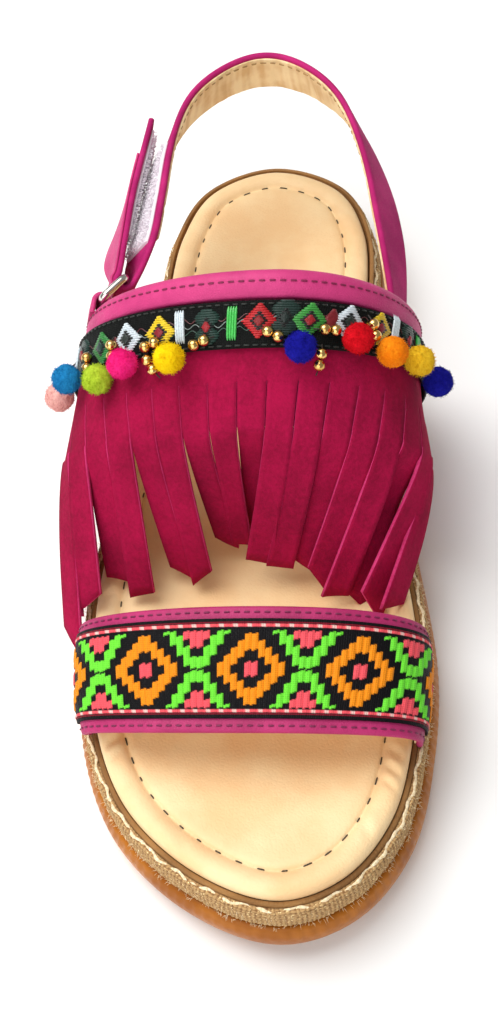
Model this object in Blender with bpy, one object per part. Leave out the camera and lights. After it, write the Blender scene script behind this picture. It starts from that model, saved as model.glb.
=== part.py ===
"""Child's right-foot fringe sandal: a flat moulded sole with a jute band, a padded insole, a ribboned toe
strap, and an instep strap with a suede fringe, a braid hung with pompoms and a heel strap on a ring.

The tables and sizes are in millimetres and MM turns them into metres as the meshes are made.
X runs across the foot (lateral side negative), Y runs from toe (negative) to heel, Z is up from the floor.
"Along" is the distance from the insole's toe tip towards the heel.
"""

import math
from collections import namedtuple

import bmesh
import bpy
import numpy as np

MM = 0.001

# Driving sizes
INSOLE_LENGTH = 200.0
OUTSOLE_HEIGHT = 8.0
MIDSOLE_HEIGHT = 7.0
INSOLE_THICKNESS = 3.6
SEAT_GAP = 0.3
TOE_SPRING = 4.0
TOE_SPRING_LENGTH = 48.0
ARCH_RELIEF = 1.2
ARCH_FRONT, ARCH_BACK = 88.0, 140.0
OUTLINE_STEPS = 30

# How far each layer stands out from the insole's edge
MIDSOLE_LEDGE = 1.0
JUTE_INNER = MIDSOLE_LEDGE + SEAT_GAP
JUTE_OUTER = 2.9
OUTSOLE_TOP_LEDGE = 3.0
OUTSOLE_BULGE = 4.6
OUTSOLE_FOOT = 3.4

# Insole top: rounded rim and the stitched channel
RIM_RADIUS = 1.8
CHANNEL_INSET = 6.8
CHANNEL_HALF_WIDTH = 0.9
CHANNEL_DEPTH = 0.7

# Straps
WALL = 1.8
RIBBON_THICKNESS = 0.8
RIBBON_MARGIN = 1.9
STRAP_TO_INSOLE = 0.4
BINDING_WIDTH = 4.8
BINDING_THICKNESS = 1.5
TAPE_START, TAPE_END = 5.1, 15.1
TAPE_THICKNESS = 0.7
HEEL_STRAP_HEIGHT = 12.0
HEEL_STRAP_THICKNESS = 2.0
PAD_THICKNESS = 1.0
PAD_HEIGHT = 9.0

# Fringe
FRINGE_START = 9.0
SLIT_START = 22.0
FRINGE_THICKNESS = 0.9
FRINGE_GAP = 0.55
STRIP_GAP = 0.5
FRINGE_FROM, FRINGE_TO = 0.0723, 0.876

# Trimmings
POMPOM_DIAMETER = 7.0
BEAD_DIAMETER = 2.5
WIRE_DIAMETER = 1.8
RING_LENGTH = 14.8
RING_WIDTH = 7.2
RING_PLACE = 0.228
RING_SETBACK = 2.8
RING_STAND = 1.5
RING_HEADING = (0.66, 0.75, 0.05)
FOLD_RADIUS = 2.3
TAB_WIDTH = 9.6
TAB_THICKNESS = 1.1

MIDSOLE_BASE = OUTSOLE_HEIGHT + SEAT_GAP
MIDSOLE_TOP = MIDSOLE_BASE + MIDSOLE_HEIGHT
INSOLE_BASE = MIDSOLE_TOP + SEAT_GAP
INSOLE_TOP = INSOLE_BASE + INSOLE_THICKNESS
STRAP_FOOT = MIDSOLE_TOP + SEAT_GAP - INSOLE_TOP
FRINGE_TOP = WALL + FRINGE_GAP + FRINGE_THICKNESS
TRIMMING_BASE = FRINGE_TOP + FRINGE_GAP + TAPE_THICKNESS + SEAT_GAP
ON_TAPE_LIMIT = TAPE_END + 2.8

# The insole's edge, from the heel round the lateral side to the toe and back along the medial side
OutlinePoint = namedtuple("OutlinePoint", "place along across")
INSOLE_OUTLINE = [
    OutlinePoint("heel back", 200.0, -0.5),
    OutlinePoint("lateral heel corner", 193.0, -16.5),
    OutlinePoint("lateral heel", 178.0, -23.6),
    OutlinePoint("lateral heel front", 155.0, -26.4),
    OutlinePoint("lateral waist", 120.0, -30.8),
    OutlinePoint("lateral joint", 88.0, -35.2),
    OutlinePoint("lateral ball", 65.0, -36.8),
    OutlinePoint("little toe", 40.0, -34.4),
    OutlinePoint("outer toes", 20.3, -25.9),
    OutlinePoint("toe curve", 5.5, -9.6),
    OutlinePoint("toe tip", 0.0, 6.7),
    OutlinePoint("great toe corner", 5.1, 19.7),
    OutlinePoint("great toe", 18.8, 29.7),
    OutlinePoint("great toe joint", 40.0, 34.4),
    OutlinePoint("medial ball", 60.0, 35.3),
    OutlinePoint("medial arch front", 88.0, 31.3),
    OutlinePoint("medial waist", 120.0, 25.4),
    OutlinePoint("medial heel front", 150.0, 23.8),
    OutlinePoint("medial heel", 178.0, 23.2),
    OutlinePoint("medial heel corner", 193.0, 16.3),
]
TOE_TIP_ROW = 10

# One row for each edge of a strap. Heights are above the insole and are those of the wall's inner face.
# The wall leaves the sole just outside the insole at "foot", swells by "bulge" at the belly's height and
# reaches "crown" over the middle of the foot.
StrapEdge = namedtuple(
    "StrapEdge",
    "crown_along crown_height crown_across lateral_along medial_along lateral_bulge medial_bulge"
    " belly_height lateral_squareness medial_squareness",
)
TOE_STRAP_EDGES = [
    StrapEdge(56.5, 21.0, -0.5, 64.0, 61.5, 0.0, 0.0, 2.0, 1.05, 0.84),
    StrapEdge(30.5, 13.8, 0.0, 39.0, 36.0, 0.0, 0.0, 2.0, 1.05, 0.90),
]
INSTEP_STRAP_EDGES = [
    StrapEdge(117.0, 55.8, 5.5, 138.0, 138.0, 7.4, 8.8, 21.6, 1.00, 1.00),
    StrapEdge(92.0, 36.4, 5.0, 101.0, 100.0, 6.6, 6.4, 14.5, 1.00, 1.00),
]
TUCK_ANGLE = math.radians(60.0)
ARCH_SAMPLES = 161

# The heel strap's top edge, after the end that is sewn inside the instep strap. Lean tilts its foot outwards.
HeelRow = namedtuple("HeelRow", "place along across top lean")
HEEL_STRAP_ROWS = [
    HeelRow("medial waist", 148.0, 26.4, 41.0, 30.0),
    HeelRow("medial heel", 171.0, 22.4, 41.0, 24.0),
    HeelRow("medial turn", 190.0, 13.9, 41.0, 14.0),
    HeelRow("heel back", 199.5, 0.0, 41.0, 8.0),
    HeelRow("lateral turn", 191.0, -14.5, 41.0, 12.0),
    HeelRow("lateral heel", 175.0, -20.3, 41.0, 22.0),
    HeelRow("lateral waist", 155.0, -21.6, 41.0, 32.0),
    HeelRow("fold approach", 140.0, -23.0, 41.0, 38.0),
]
TAIL_ROWS = [
    HeelRow("tail start", 142.0, -30.0, 41.0, 28.0),
    HeelRow("tail middle", 157.0, -29.2, 41.2, 17.0),
    HeelRow("tail end", 178.5, -26.6, 41.5, 13.0),
]
SEWN_END_INSET = 9.0
SEWN_EDGE_INSET = 1.5
SEWN_TOP = 0.735
SEWN_OVERLAP = 0.6
HEEL_TURN_ALONG = 178.0
STEPS_PER_ROW = 4
FOLD_ROWS = 5

# Where each fringe strip's tip hangs, from the lateral side to the medial side. Height is above the insole
# and bend is how far the strip holds the strap's slope before it drops.
Tip = namedtuple("Tip", "along across height bend")
FRINGE_TIPS = [
    Tip(76.0, -42.6, -13.0, 11.0),
    Tip(69.5, -42.4, -10.0, 11.0),
    Tip(62.5, -41.7, -5.0, 11.0),
    Tip(67.8, -37.0, 3.5, 11.0),
    Tip(73.7, -31.0, 3.5, 11.0),
    Tip(69.8, -25.6, 3.4, 11.0),
    Tip(75.3, -15.6, 3.8, 11.0),
    Tip(73.2, -10.6, 4.9, 11.0),
    Tip(86.3, -9.8, 4.6, 5.0),
    Tip(81.1, -5.2, 6.4, 11.0),
    Tip(84.9, -2.6, 4.8, 5.0),
    Tip(75.8, 0.5, 7.7, 11.0),
    Tip(75.1, 5.1, 6.9, 11.0),
    Tip(75.8, 9.7, 6.7, 11.0),
    Tip(72.4, 14.3, 5.2, 11.0),
    Tip(69.1, 18.8, 4.2, 11.0),
    Tip(68.8, 23.6, 3.6, 11.0),
    Tip(68.2, 28.4, 3.8, 11.0),
    Tip(69.4, 33.6, 3.6, 9.0),
]
STRIP_FREE_STEPS = 5
STRIP_TIP_WIDTH = 0.78

# Pompoms and bead pairs by their place round the strap, 0 at the lateral foot and 1 at the medial foot
Pompom = namedtuple("Pompom", "place drop colour")
POMPOMS = [
    Pompom(0.187, 18.0, "pale_pink"),
    Pompom(0.244, 17.2, "sky_blue"),
    Pompom(0.298, 18.8, "lime"),
    Pompom(0.347, 16.6, "hot_pink"),
    Pompom(0.413, 16.4, "yellow"),
    Pompom(0.573, 14.9, "royal_blue"),
    Pompom(0.634, 12.5, "red"),
    Pompom(0.682, 14.4, "orange"),
    Pompom(0.730, 14.7, "mustard"),
    Pompom(0.785, 17.0, "royal_blue"),
]
BeadPair = namedtuple("BeadPair", "place drop turn")
BEAD_PAIRS = [
    BeadPair(0.216, 14.2, 90.0),
    BeadPair(0.272, 14.0, 90.0),
    BeadPair(0.321, 12.8, 90.0),
    BeadPair(0.381, 12.9, -15.0),
    BeadPair(0.379, 17.2, 60.0),
    BeadPair(0.448, 13.4, -20.0),
    BeadPair(0.541, 12.2, 25.0),
    BeadPair(0.600, 17.4, 90.0),
    BeadPair(0.604, 11.0, 0.0),
    BeadPair(0.659, 9.8, 60.0),
    BeadPair(0.757, 11.6, 30.0),
]
BEAD_PAIR_PITCH = 0.82

COLOURS = {
    "caramel_rubber": (0.42, 0.17, 0.045),
    "brown_board": (0.16, 0.075, 0.03),
    "jute": (0.60, 0.42, 0.22),
    "cream_leather": (0.87, 0.66, 0.40),
    "pink_leather": (0.55, 0.045, 0.20),
    "black_ribbon": (0.02, 0.015, 0.02),
    "magenta_suede": (0.40, 0.004, 0.07),
    "steel": (0.75, 0.74, 0.72),
    "hook_tape": (0.72, 0.66, 0.68),
    "gold": (0.80, 0.55, 0.22),
    "pale_pink": (0.90, 0.50, 0.48),
    "sky_blue": (0.02, 0.20, 0.50),
    "lime": (0.45, 0.60, 0.05),
    "hot_pink": (0.85, 0.02, 0.18),
    "yellow": (0.90, 0.62, 0.01),
    "royal_blue": (0.01, 0.02, 0.30),
    "red": (0.60, 0.01, 0.02),
    "orange": (0.90, 0.28, 0.01),
    "mustard": (0.75, 0.48, 0.03),
}
METALS = ("steel", "gold")


def clear_scene():
    for old in list(bpy.data.objects):
        bpy.data.objects.remove(old)


def material(name):
    """A plain finish in the named colour."""
    found = bpy.data.materials.get(name)
    if found:
        return found
    made = bpy.data.materials.new(name)
    made.use_nodes = True
    shader = made.node_tree.nodes["Principled BSDF"]
    shader.inputs["Base Color"].default_value = (*COLOURS[name], 1.0)
    shader.inputs["Roughness"].default_value = 0.3 if name in METALS else 0.7
    shader.inputs["Metallic"].default_value = 1.0 if name in METALS else 0.0
    return made


def solid(name, colour, points, faces, smooth_angle=35.0):
    """A named object from points in millimetres and faces, with its normals pointing out."""
    mesh = bpy.data.meshes.new(name)
    mesh.from_pydata((np.asarray(points, float) * MM).tolist(), [], faces)
    work = bmesh.new()
    work.from_mesh(mesh)
    bmesh.ops.recalc_face_normals(work, faces=work.faces)
    work.to_mesh(mesh)
    work.free()
    mesh.shade_smooth()
    mesh.set_sharp_from_angle(angle=math.radians(smooth_angle))
    mesh.materials.append(material(colour))
    made = bpy.data.objects.new(name, mesh)
    bpy.context.scene.collection.objects.link(made)
    return made


# Curves

def smooth_through(rows, closed, steps):
    """A centripetal Catmull-Rom curve through the rows, with so many steps from row to row."""
    rows = np.asarray(rows, float)
    if closed:
        padded = np.vstack([rows[-1], rows, rows[0], rows[1]])
    else:
        padded = np.vstack([2 * rows[0] - rows[1], rows, 2 * rows[-1] - rows[-2]])
    spans = []
    for before, start, end, after in zip(padded, padded[1:], padded[2:], padded[3:]):
        knots = np.cumsum([0.0] + [max(np.linalg.norm(q - p), 1e-6) ** 0.5
                                   for p, q in ((before, start), (start, end), (end, after))])
        t = np.linspace(knots[1], knots[2], steps, endpoint=False)[:, None]
        a1 = before + (start - before) * (t - knots[0]) / (knots[1] - knots[0])
        a2 = start + (end - start) * (t - knots[1]) / (knots[2] - knots[1])
        a3 = end + (after - end) * (t - knots[2]) / (knots[3] - knots[2])
        b1 = a1 + (a2 - a1) * (t - knots[0]) / (knots[2] - knots[0])
        b2 = a2 + (a3 - a2) * (t - knots[1]) / (knots[3] - knots[1])
        spans.append(b1 + (b2 - b1) * (t - knots[1]) / (knots[2] - knots[1]))
    curve = np.vstack(spans)
    return curve if closed else np.vstack([curve, rows[-1]])


def evenly(curve, count):
    """The curve as so many equal steps of its length."""
    lengths = np.concatenate([[0.0], np.cumsum(np.linalg.norm(np.diff(curve, axis=0), axis=1))])
    wanted = np.linspace(0.0, lengths[-1], count + 1)
    return np.column_stack([np.interp(wanted, lengths, column) for column in curve.T])


def unit(vectors):
    return vectors / np.linalg.norm(vectors, axis=-1, keepdims=True)


# The sole

def insole_edge():
    """Points round the insole's edge: heel to toe along the lateral side, then back along the medial side."""
    rows = [(point.across, point.along - INSOLE_LENGTH / 2) for point in INSOLE_OUTLINE]
    dense_steps = 16
    dense = smooth_through(rows, closed=True, steps=dense_steps)
    toe = TOE_TIP_ROW * dense_steps
    lateral = evenly(dense[: toe + 1], OUTLINE_STEPS)
    medial = evenly(np.vstack([dense[toe:], dense[:1]]), OUTLINE_STEPS)
    return np.vstack([lateral[:-1], medial[:-1]])


def offset_edge(edge, distance):
    """The edge moved outwards along its normals."""
    tangent = unit(np.roll(edge, -1, axis=0) - np.roll(edge, 1, axis=0))
    outward = np.column_stack([-tangent[:, 1], tangent[:, 0]])
    if np.sum(outward * edge) < 0:
        outward = -outward
    return edge + outward * distance


def toe_rise(y):
    """How far the sole has curved up from the floor at this place."""
    along = y + INSOLE_LENGTH / 2
    return TOE_SPRING * np.clip((TOE_SPRING_LENGTH - along) / TOE_SPRING_LENGTH, 0.0, None) ** 2


def arch_lift(y):
    """The low hollow under the waist, between the flat heel and the flat forefoot."""
    along = y + INSOLE_LENGTH / 2
    share = np.clip((along - ARCH_FRONT) / (ARCH_BACK - ARCH_FRONT), 0.0, 1.0)
    return ARCH_RELIEF * np.sin(np.pi * share) ** 2


def sole_loop(edge, distance, height, lift=0.0):
    """One loop of a sole layer: the edge moved out and raised."""
    loop = offset_edge(edge, distance)
    y = loop[:, 1]
    return np.column_stack([loop, height + toe_rise(y) + lift * arch_lift(y)])


def ladder(start, count):
    """Faces across a loop, from rung to rung between its two halves."""
    half = count // 2
    lateral = [start + i for i in range(half + 1)]
    medial = [start + (count - i) % count for i in range(half + 1)]
    faces = [(lateral[0], lateral[1], medial[1])]
    for i in range(1, half - 1):
        faces.append((lateral[i], lateral[i + 1], medial[i + 1], medial[i]))
    faces.append((lateral[half - 1], lateral[half], medial[half - 1]))
    return faces


def stack(loops, capped):
    """Points and faces of loops joined one to the next, with ladder caps or joined round into a ring."""
    count = len(loops[0])
    points = np.vstack(loops)
    pairs = list(zip(range(len(loops)), range(1, len(loops))))
    if not capped:
        pairs.append((len(loops) - 1, 0))
    faces = []
    for low, high in pairs:
        for i in range(count):
            j = (i + 1) % count
            faces.append((low * count + i, low * count + j, high * count + j, high * count + i))
    if capped:
        faces += [tuple(reversed(face)) for face in ladder(0, count)]
        faces += ladder((len(loops) - 1) * count, count)
    return points, faces


def make_outsole(edge):
    """Caramel unit sole with a rounded side, a lifted waist underneath and a sprung toe."""
    profile = [
        (OUTSOLE_FOOT, 0.0, 1.0),
        (OUTSOLE_BULGE - 0.2, 1.6, 0.5),
        (OUTSOLE_BULGE, 3.6, 0.0),
        (OUTSOLE_BULGE - 0.5, 6.0, 0.0),
        (OUTSOLE_TOP_LEDGE, OUTSOLE_HEIGHT, 0.0),
    ]
    loops = [sole_loop(edge, distance, height, lift) for distance, height, lift in profile]
    solid("outsole", "caramel_rubber", *stack(loops, capped=True))


def make_midsole(edge):
    """Brown board and foam under the insole, seen as a thin ledge."""
    loops = [sole_loop(edge, MIDSOLE_LEDGE, height) for height in (MIDSOLE_BASE, MIDSOLE_TOP)]
    solid("midsole", "brown_board", *stack(loops, capped=True))


def make_jute_band(edge):
    """Woven band wrapped round the midsole's side."""
    bulge = 0.35
    profile = [
        (JUTE_INNER, MIDSOLE_BASE),
        (JUTE_OUTER - bulge, MIDSOLE_BASE),
        (JUTE_OUTER, MIDSOLE_BASE + MIDSOLE_HEIGHT * 0.35),
        (JUTE_OUTER, MIDSOLE_BASE + MIDSOLE_HEIGHT * 0.75),
        (JUTE_OUTER - bulge, MIDSOLE_TOP),
        (JUTE_INNER, MIDSOLE_TOP),
    ]
    loops = [sole_loop(edge, distance, height) for distance, height in profile]
    solid("jute_band", "jute", *stack(loops, capped=False))


def make_insole(edge):
    """Padded cream insole with a rounded rim and a pressed channel for its stitching."""
    channel_floor = INSOLE_TOP - CHANNEL_DEPTH
    profile = [
        (-0.4, INSOLE_BASE),
        (0.0, INSOLE_BASE + 0.6),
        (0.0, INSOLE_TOP - RIM_RADIUS),
        (-RIM_RADIUS * 0.3, INSOLE_TOP - RIM_RADIUS * 0.3),
        (-RIM_RADIUS, INSOLE_TOP),
        (-CHANNEL_INSET + CHANNEL_HALF_WIDTH, INSOLE_TOP),
        (-CHANNEL_INSET, channel_floor),
        (-CHANNEL_INSET - CHANNEL_HALF_WIDTH, INSOLE_TOP - 0.2),
    ]
    loops = [sole_loop(edge, distance, height) for distance, height in profile]
    solid("insole", "cream_leather", *stack(loops, capped=True))


# The straps

def mixed_edge(edges, share):
    """The strap edge part of the way from the back edge (0) to the front edge (1)."""
    return StrapEdge(*[back + (front - back) * share for back, front in zip(*edges)])


def feet_across(strap_edge):
    """Where a strap edge's lateral and medial feet stand, just outside the insole."""
    edge = insole_edge()
    lateral = edge[: OUTLINE_STEPS + 1][::-1]
    medial = np.vstack([edge[OUTLINE_STEPS:], edge[:1]])
    middle = INSOLE_LENGTH / 2
    return (float(np.interp(strap_edge.lateral_along - middle, lateral[:, 1], lateral[:, 0])) - STRAP_TO_INSOLE,
            float(np.interp(strap_edge.medial_along - middle, medial[:, 1], medial[:, 0])) + STRAP_TO_INSOLE)


def arch_curve(edge):
    """The wall's inner line from the lateral foot over the crown to the medial foot, in equal steps.

    The upper part is a superellipse over the belly and each lower part is an arc that tucks in to the foot.
    """
    tuck = np.linspace(TUCK_ANGLE, 0.0, 24, endpoint=False)
    inward = (1 - np.cos(tuck)) / (1 - math.cos(TUCK_ANGLE))
    drop = edge.belly_height - (edge.belly_height - STRAP_FOOT) * np.sin(tuck) / math.sin(TUCK_ANGLE)
    swing = np.linspace(0.0, np.pi, 121)
    squareness = np.where(swing < np.pi / 2, edge.lateral_squareness, edge.medial_squareness)
    reach = np.sign(np.cos(swing)) * np.abs(np.cos(swing)) ** squareness
    rise = np.abs(np.sin(swing)) ** squareness
    lateral_foot, medial_foot = feet_across(edge)
    lateral_belly = lateral_foot - edge.lateral_bulge
    medial_belly = medial_foot + edge.medial_bulge
    lateral_reach = edge.crown_across - lateral_belly
    medial_reach = medial_belly - edge.crown_across
    across = edge.crown_across - np.where(reach > 0, lateral_reach, medial_reach) * reach
    height = edge.belly_height + (edge.crown_height - edge.belly_height) * rise
    lateral = lateral_belly + edge.lateral_bulge * inward
    medial = medial_belly - edge.medial_bulge * inward
    across = np.concatenate([lateral, across, medial[::-1]])
    height = np.concatenate([drop, height, drop[::-1]])
    fallen = (edge.crown_height - height) / (edge.crown_height - STRAP_FOOT)
    foot_along = np.where(across < edge.crown_across, edge.lateral_along, edge.medial_along)
    along = edge.crown_along + (foot_along - edge.crown_along) * fallen
    y = along - INSOLE_LENGTH / 2
    z = INSOLE_TOP + height + toe_rise(y)
    return evenly(np.column_stack([across, y, z]), ARCH_SAMPLES - 1)


def strap_width(edges):
    """The strap's width over the crown."""
    back, front = edges
    return math.hypot(back.crown_along - front.crown_along, back.crown_height - front.crown_height)


def strap_point(edges, place, across_strap, offset=0.0):
    """A point on the strap: place 0 to 1 round the foot, millimetres from the back edge, and offset outwards."""
    place = np.atleast_1d(np.asarray(place, float))
    width = strap_width(edges)
    grid = np.linspace(0.0, 1.0, ARCH_SAMPLES)

    def surface(distance, at):
        curve = arch_curve(mixed_edge(edges, distance / width))
        return np.column_stack([np.interp(at, grid, column) for column in curve.T])

    nudge = 1e-3
    low, high = np.clip(place - nudge, 0, 1), np.clip(place + nudge, 0, 1)
    round_foot = surface(across_strap, high) - surface(across_strap, low)
    forward = surface(across_strap + 0.5, place) - surface(across_strap - 0.5, place)
    outward = np.cross(forward, round_foot)
    outward[:, 2] = np.maximum(outward[:, 2], 0.0)
    outward = unit(outward)
    return surface(across_strap, place) + outward * offset


def slab(edges, places, distances, inner, outer):
    """Points and faces of a wall that follows a strap between two offsets."""
    columns = len(places)
    rows = len(distances)
    under = np.vstack([strap_point(edges, places, distance, inner) for distance in distances])
    over = np.vstack([strap_point(edges, places, distance, outer) for distance in distances])
    points = np.vstack([under, over])
    top = rows * columns
    faces = []
    for r in range(rows - 1):
        for c in range(columns - 1):
            quad = (r * columns + c, r * columns + c + 1, (r + 1) * columns + c + 1, (r + 1) * columns + c)
            faces.append(quad)
            faces.append(tuple(top + i for i in reversed(quad)))
    rim = [c for c in range(columns)]
    rim += [r * columns + columns - 1 for r in range(1, rows)]
    rim += [(rows - 1) * columns + c for c in range(columns - 2, -1, -1)]
    rim += [r * columns for r in range(rows - 2, 0, -1)]
    for i, j in zip(rim, rim[1:] + rim[:1]):
        faces.append((j, i, top + i, top + j))
    return points, faces


def make_toe_strap():
    """Pink leather band over the toes, with the woven ribbon sewn along its middle."""
    width = strap_width(TOE_STRAP_EDGES)
    places = np.linspace(0.0, 1.0, 41)
    solid("toe_strap", "pink_leather",
          *slab(TOE_STRAP_EDGES, places, np.linspace(0.0, width, 4), 0.0, WALL))
    ribbon_base = WALL + SEAT_GAP
    solid("toe_ribbon", "black_ribbon",
          *slab(TOE_STRAP_EDGES, places, np.linspace(RIBBON_MARGIN, width - RIBBON_MARGIN, 3),
                ribbon_base, ribbon_base + RIBBON_THICKNESS))


def ring_frame():
    """The ring's front bar behind the strap's back edge, the bars' direction and the way to the rear bar."""
    edges = INSTEP_STRAP_EDGES
    front = strap_point(edges, RING_PLACE, -RING_SETBACK, RING_STAND)[0]
    down = unit(strap_point(edges, RING_PLACE - 0.02, -RING_SETBACK, RING_STAND)[0] - front)
    heading = np.array(RING_HEADING)
    return front, down, unit(heading - down * np.dot(heading, down))


def heel_strap_rails():
    """Top edge points and downward width directions along the heel strap, from its sewn end to its tail."""
    edges = INSTEP_STRAP_EDGES
    tops, downs = [], []
    for inset in (SEWN_END_INSET, SEWN_EDGE_INSET):
        offset = SEWN_OVERLAP - HEEL_STRAP_THICKNESS / 2
        line = strap_point(edges, np.linspace(SEWN_TOP, 1.0, 60), inset, offset)
        reach = np.linalg.norm(line - line[0], axis=1)
        bottom = line[np.searchsorted(reach, HEEL_STRAP_HEIGHT)]
        tops.append(line[0])
        downs.append(unit(bottom - line[0]))
    front_bar, bar_down, heading = ring_frame()
    fold_top = front_bar + heading * RING_WIDTH - bar_down * HEEL_STRAP_HEIGHT / 2
    inward = np.cross(bar_down, heading)
    for row in HEEL_STRAP_ROWS + TAIL_ROWS:
        if row is TAIL_ROWS[0]:
            for turn in np.linspace(math.pi / 2, -math.pi / 2, FOLD_ROWS):
                tops.append(fold_top + FOLD_RADIUS * (inward * math.sin(turn) - heading * math.cos(turn)))
                downs.append(bar_down)
        outward = unit(np.array([row.across, max(0.0, row.along - HEEL_TURN_ALONG)]))
        lean = math.radians(row.lean)
        tops.append(np.array([row.across, row.along - INSOLE_LENGTH / 2, INSOLE_TOP + row.top]))
        downs.append(np.array([*(outward * math.sin(lean)), -math.cos(lean)]))
    rails = smooth_through(np.hstack([tops, downs]), closed=False, steps=STEPS_PER_ROW)
    return rails[:, :3], unit(rails[:, 3:])


def ribbon_sweep(tops, downs, height, near, far):
    """Points and faces of a flat strip hung from its top edge, between two offsets through its thickness."""
    along = unit(np.gradient(tops, axis=0))
    through = unit(np.cross(along, downs))
    bottoms = tops + downs * height
    corners = [tops + through * near, tops + through * far, bottoms + through * far, bottoms + through * near]
    points = np.stack(corners, axis=1).reshape(-1, 3)
    faces = []
    for i in range(len(tops) - 1):
        for k in range(4):
            n = (k + 1) % 4
            faces.append((4 * i + k, 4 * i + n, 4 * i + 4 + n, 4 * i + 4 + k))
    faces.append((3, 2, 1, 0))
    last = 4 * (len(tops) - 1)
    faces.append((last, last + 1, last + 2, last + 3))
    return points, faces


def make_instep_strap():
    """Instep strap with the heel strap sewn to its medial side, the two joined into one upper."""
    width = strap_width(INSTEP_STRAP_EDGES)
    places = np.linspace(0.0, 1.0, 45)
    upper = solid("instep_and_heel_strap", "pink_leather",
                  *slab(INSTEP_STRAP_EDGES, places, np.linspace(0.0, width, 7), 0.0, WALL))
    tops, downs = heel_strap_rails()
    half = HEEL_STRAP_THICKNESS / 2
    heel = solid("heel_strap_blank", "pink_leather",
                 *ribbon_sweep(tops, downs, HEEL_STRAP_HEIGHT, -half, half))
    heel.hide_render = True
    heel.display_type = "WIRE"
    join = upper.modifiers.new("sewn_end", "BOOLEAN")
    join.operation = "UNION"
    join.object = heel
    solid("instep_binding", "pink_leather",
          *slab(INSTEP_STRAP_EDGES, places, [0.0, BINDING_WIDTH * 0.5, BINDING_WIDTH],
                WALL + SEAT_GAP, WALL + SEAT_GAP + BINDING_THICKNESS))
    tape_base = FRINGE_TOP + FRINGE_GAP
    solid("braid_tape", "black_ribbon",
          *slab(INSTEP_STRAP_EDGES, places, np.linspace(TAPE_START, TAPE_END, 3),
                tape_base, tape_base + TAPE_THICKNESS))


def make_fastening_pads():
    """Fuzzy fastening tape on the strap's outer face and on the inner face of its folded tail."""
    tops, downs = heel_strap_rails()
    face = HEEL_STRAP_THICKNESS / 2 + SEAT_GAP
    inset = (HEEL_STRAP_HEIGHT - PAD_HEIGHT) / 2
    rows = {"loop_pad": ("lateral heel", "fold approach"), "hook_pad": ("tail start", "tail end")}
    names = [row.place for row in HEEL_STRAP_ROWS] + ["fold"] * FOLD_ROWS + [row.place for row in TAIL_ROWS]
    for name, (first, last) in rows.items():
        begin = (names.index(first) + 2) * STEPS_PER_ROW
        end = (names.index(last) + 2) * STEPS_PER_ROW
        run = slice(begin + 1, end)
        edge_tops = tops[run] + downs[run] * inset
        solid(name, "hook_tape",
              *ribbon_sweep(edge_tops, downs[run], PAD_HEIGHT, -face - PAD_THICKNESS, -face))


# The fringe

def strip_bounds():
    """The two edges of each strip round the strap."""
    pitch = (FRINGE_TO - FRINGE_FROM) / len(FRINGE_TIPS)
    length = np.linalg.norm(np.diff(arch_curve(mixed_edge(INSTEP_STRAP_EDGES, 1.0)), axis=0), axis=1).sum()
    half_gap = STRIP_GAP / length / 2
    starts = FRINGE_FROM + pitch * np.arange(len(FRINGE_TIPS))
    return [(start + half_gap, start + pitch - half_gap) for start in starts]


def strip_drop(tip, root, slope):
    """Points down the free part of a strip, leaving along the strap's slope and bending over to the tip."""
    end = np.array([tip.across, tip.along - INSOLE_LENGTH / 2, INSOLE_TOP + tip.height])
    bend = root + slope * tip.bend
    share = np.linspace(0.0, 1.0, STRIP_FREE_STEPS + 1)[1:, None]
    return (1 - share) ** 2 * root + 2 * share * (1 - share) * bend + share ** 2 * end


def make_fringe():
    """Suede band sewn under the braid and cut into strips that bend over the strap's front edge."""
    edges = INSTEP_STRAP_EDGES
    width = strap_width(edges)
    bounds = strip_bounds()
    places = np.array(bounds).ravel()
    columns = len(places)
    inner = WALL + FRINGE_GAP
    outer = inner + FRINGE_THICKNESS
    band_rows = 4
    points, faces = slab(edges, places, np.linspace(FRINGE_START, SLIT_START, band_rows), inner, outer)
    points = list(points)
    under_row = (band_rows - 1) * columns
    over_row = (2 * band_rows - 1) * columns
    slits = {frozenset((under_row + 2 * i, under_row + 2 * i + 1)) for i in range(len(bounds))}
    faces = [face for face in faces
             if frozenset(v for v in face if under_row <= v < under_row + columns) not in slits
             or not any(v >= over_row for v in face)]
    for i, (tip, pair) in enumerate(zip(FRINGE_TIPS, bounds)):
        ring = [under_row + 2 * i, under_row + 2 * i + 1, over_row + 2 * i + 1, over_row + 2 * i]
        middle = sum(pair) / 2
        on_strap = [(strap_point(edges, pair, distance, inner), strap_point(edges, pair, distance, outer))
                    for distance in ((SLIT_START + width) / 2, width)]
        layers = [[low[0], low[1], high[1], high[0]] for low, high in on_strap]
        front = np.array(layers[-1])
        slope = unit(strap_point(edges, middle, width)[0] - strap_point(edges, middle, width - 3.0)[0])
        root = front.mean(axis=0)
        half_across = (front[1] + front[2] - front[0] - front[3]) / 4
        path = strip_drop(tip, root, slope)
        taper = np.maximum(np.linspace(1.0, 2 * STRIP_TIP_WIDTH - 1, STRIP_FREE_STEPS + 1)[1:], STRIP_TIP_WIDTH)
        headings = unit(np.gradient(np.vstack([root, path]), axis=0))[1:]
        for centre, heading, narrowing in zip(path, headings, taper):
            across = half_across - heading * np.dot(half_across, heading)
            across = unit(across) * np.linalg.norm(half_across) * narrowing
            through = unit(np.cross(across, heading)) * FRINGE_THICKNESS / 2
            if np.dot(through, front[3] - front[0]) < 0:
                through = -through
            layers.append([centre - across - through, centre + across - through,
                           centre + across + through, centre - across + through])
        for layer in layers:
            base = len(points)
            points.extend(layer)
            new = [base + k for k in range(4)]
            for k in range(4):
                n = (k + 1) % 4
                faces.append((ring[k], ring[n], new[n], new[k]))
            ring = new
        faces.append(tuple(ring))
    solid("fringe", "magenta_suede", np.array(points), faces)


# Pompoms, beads, ring and tab

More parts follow.
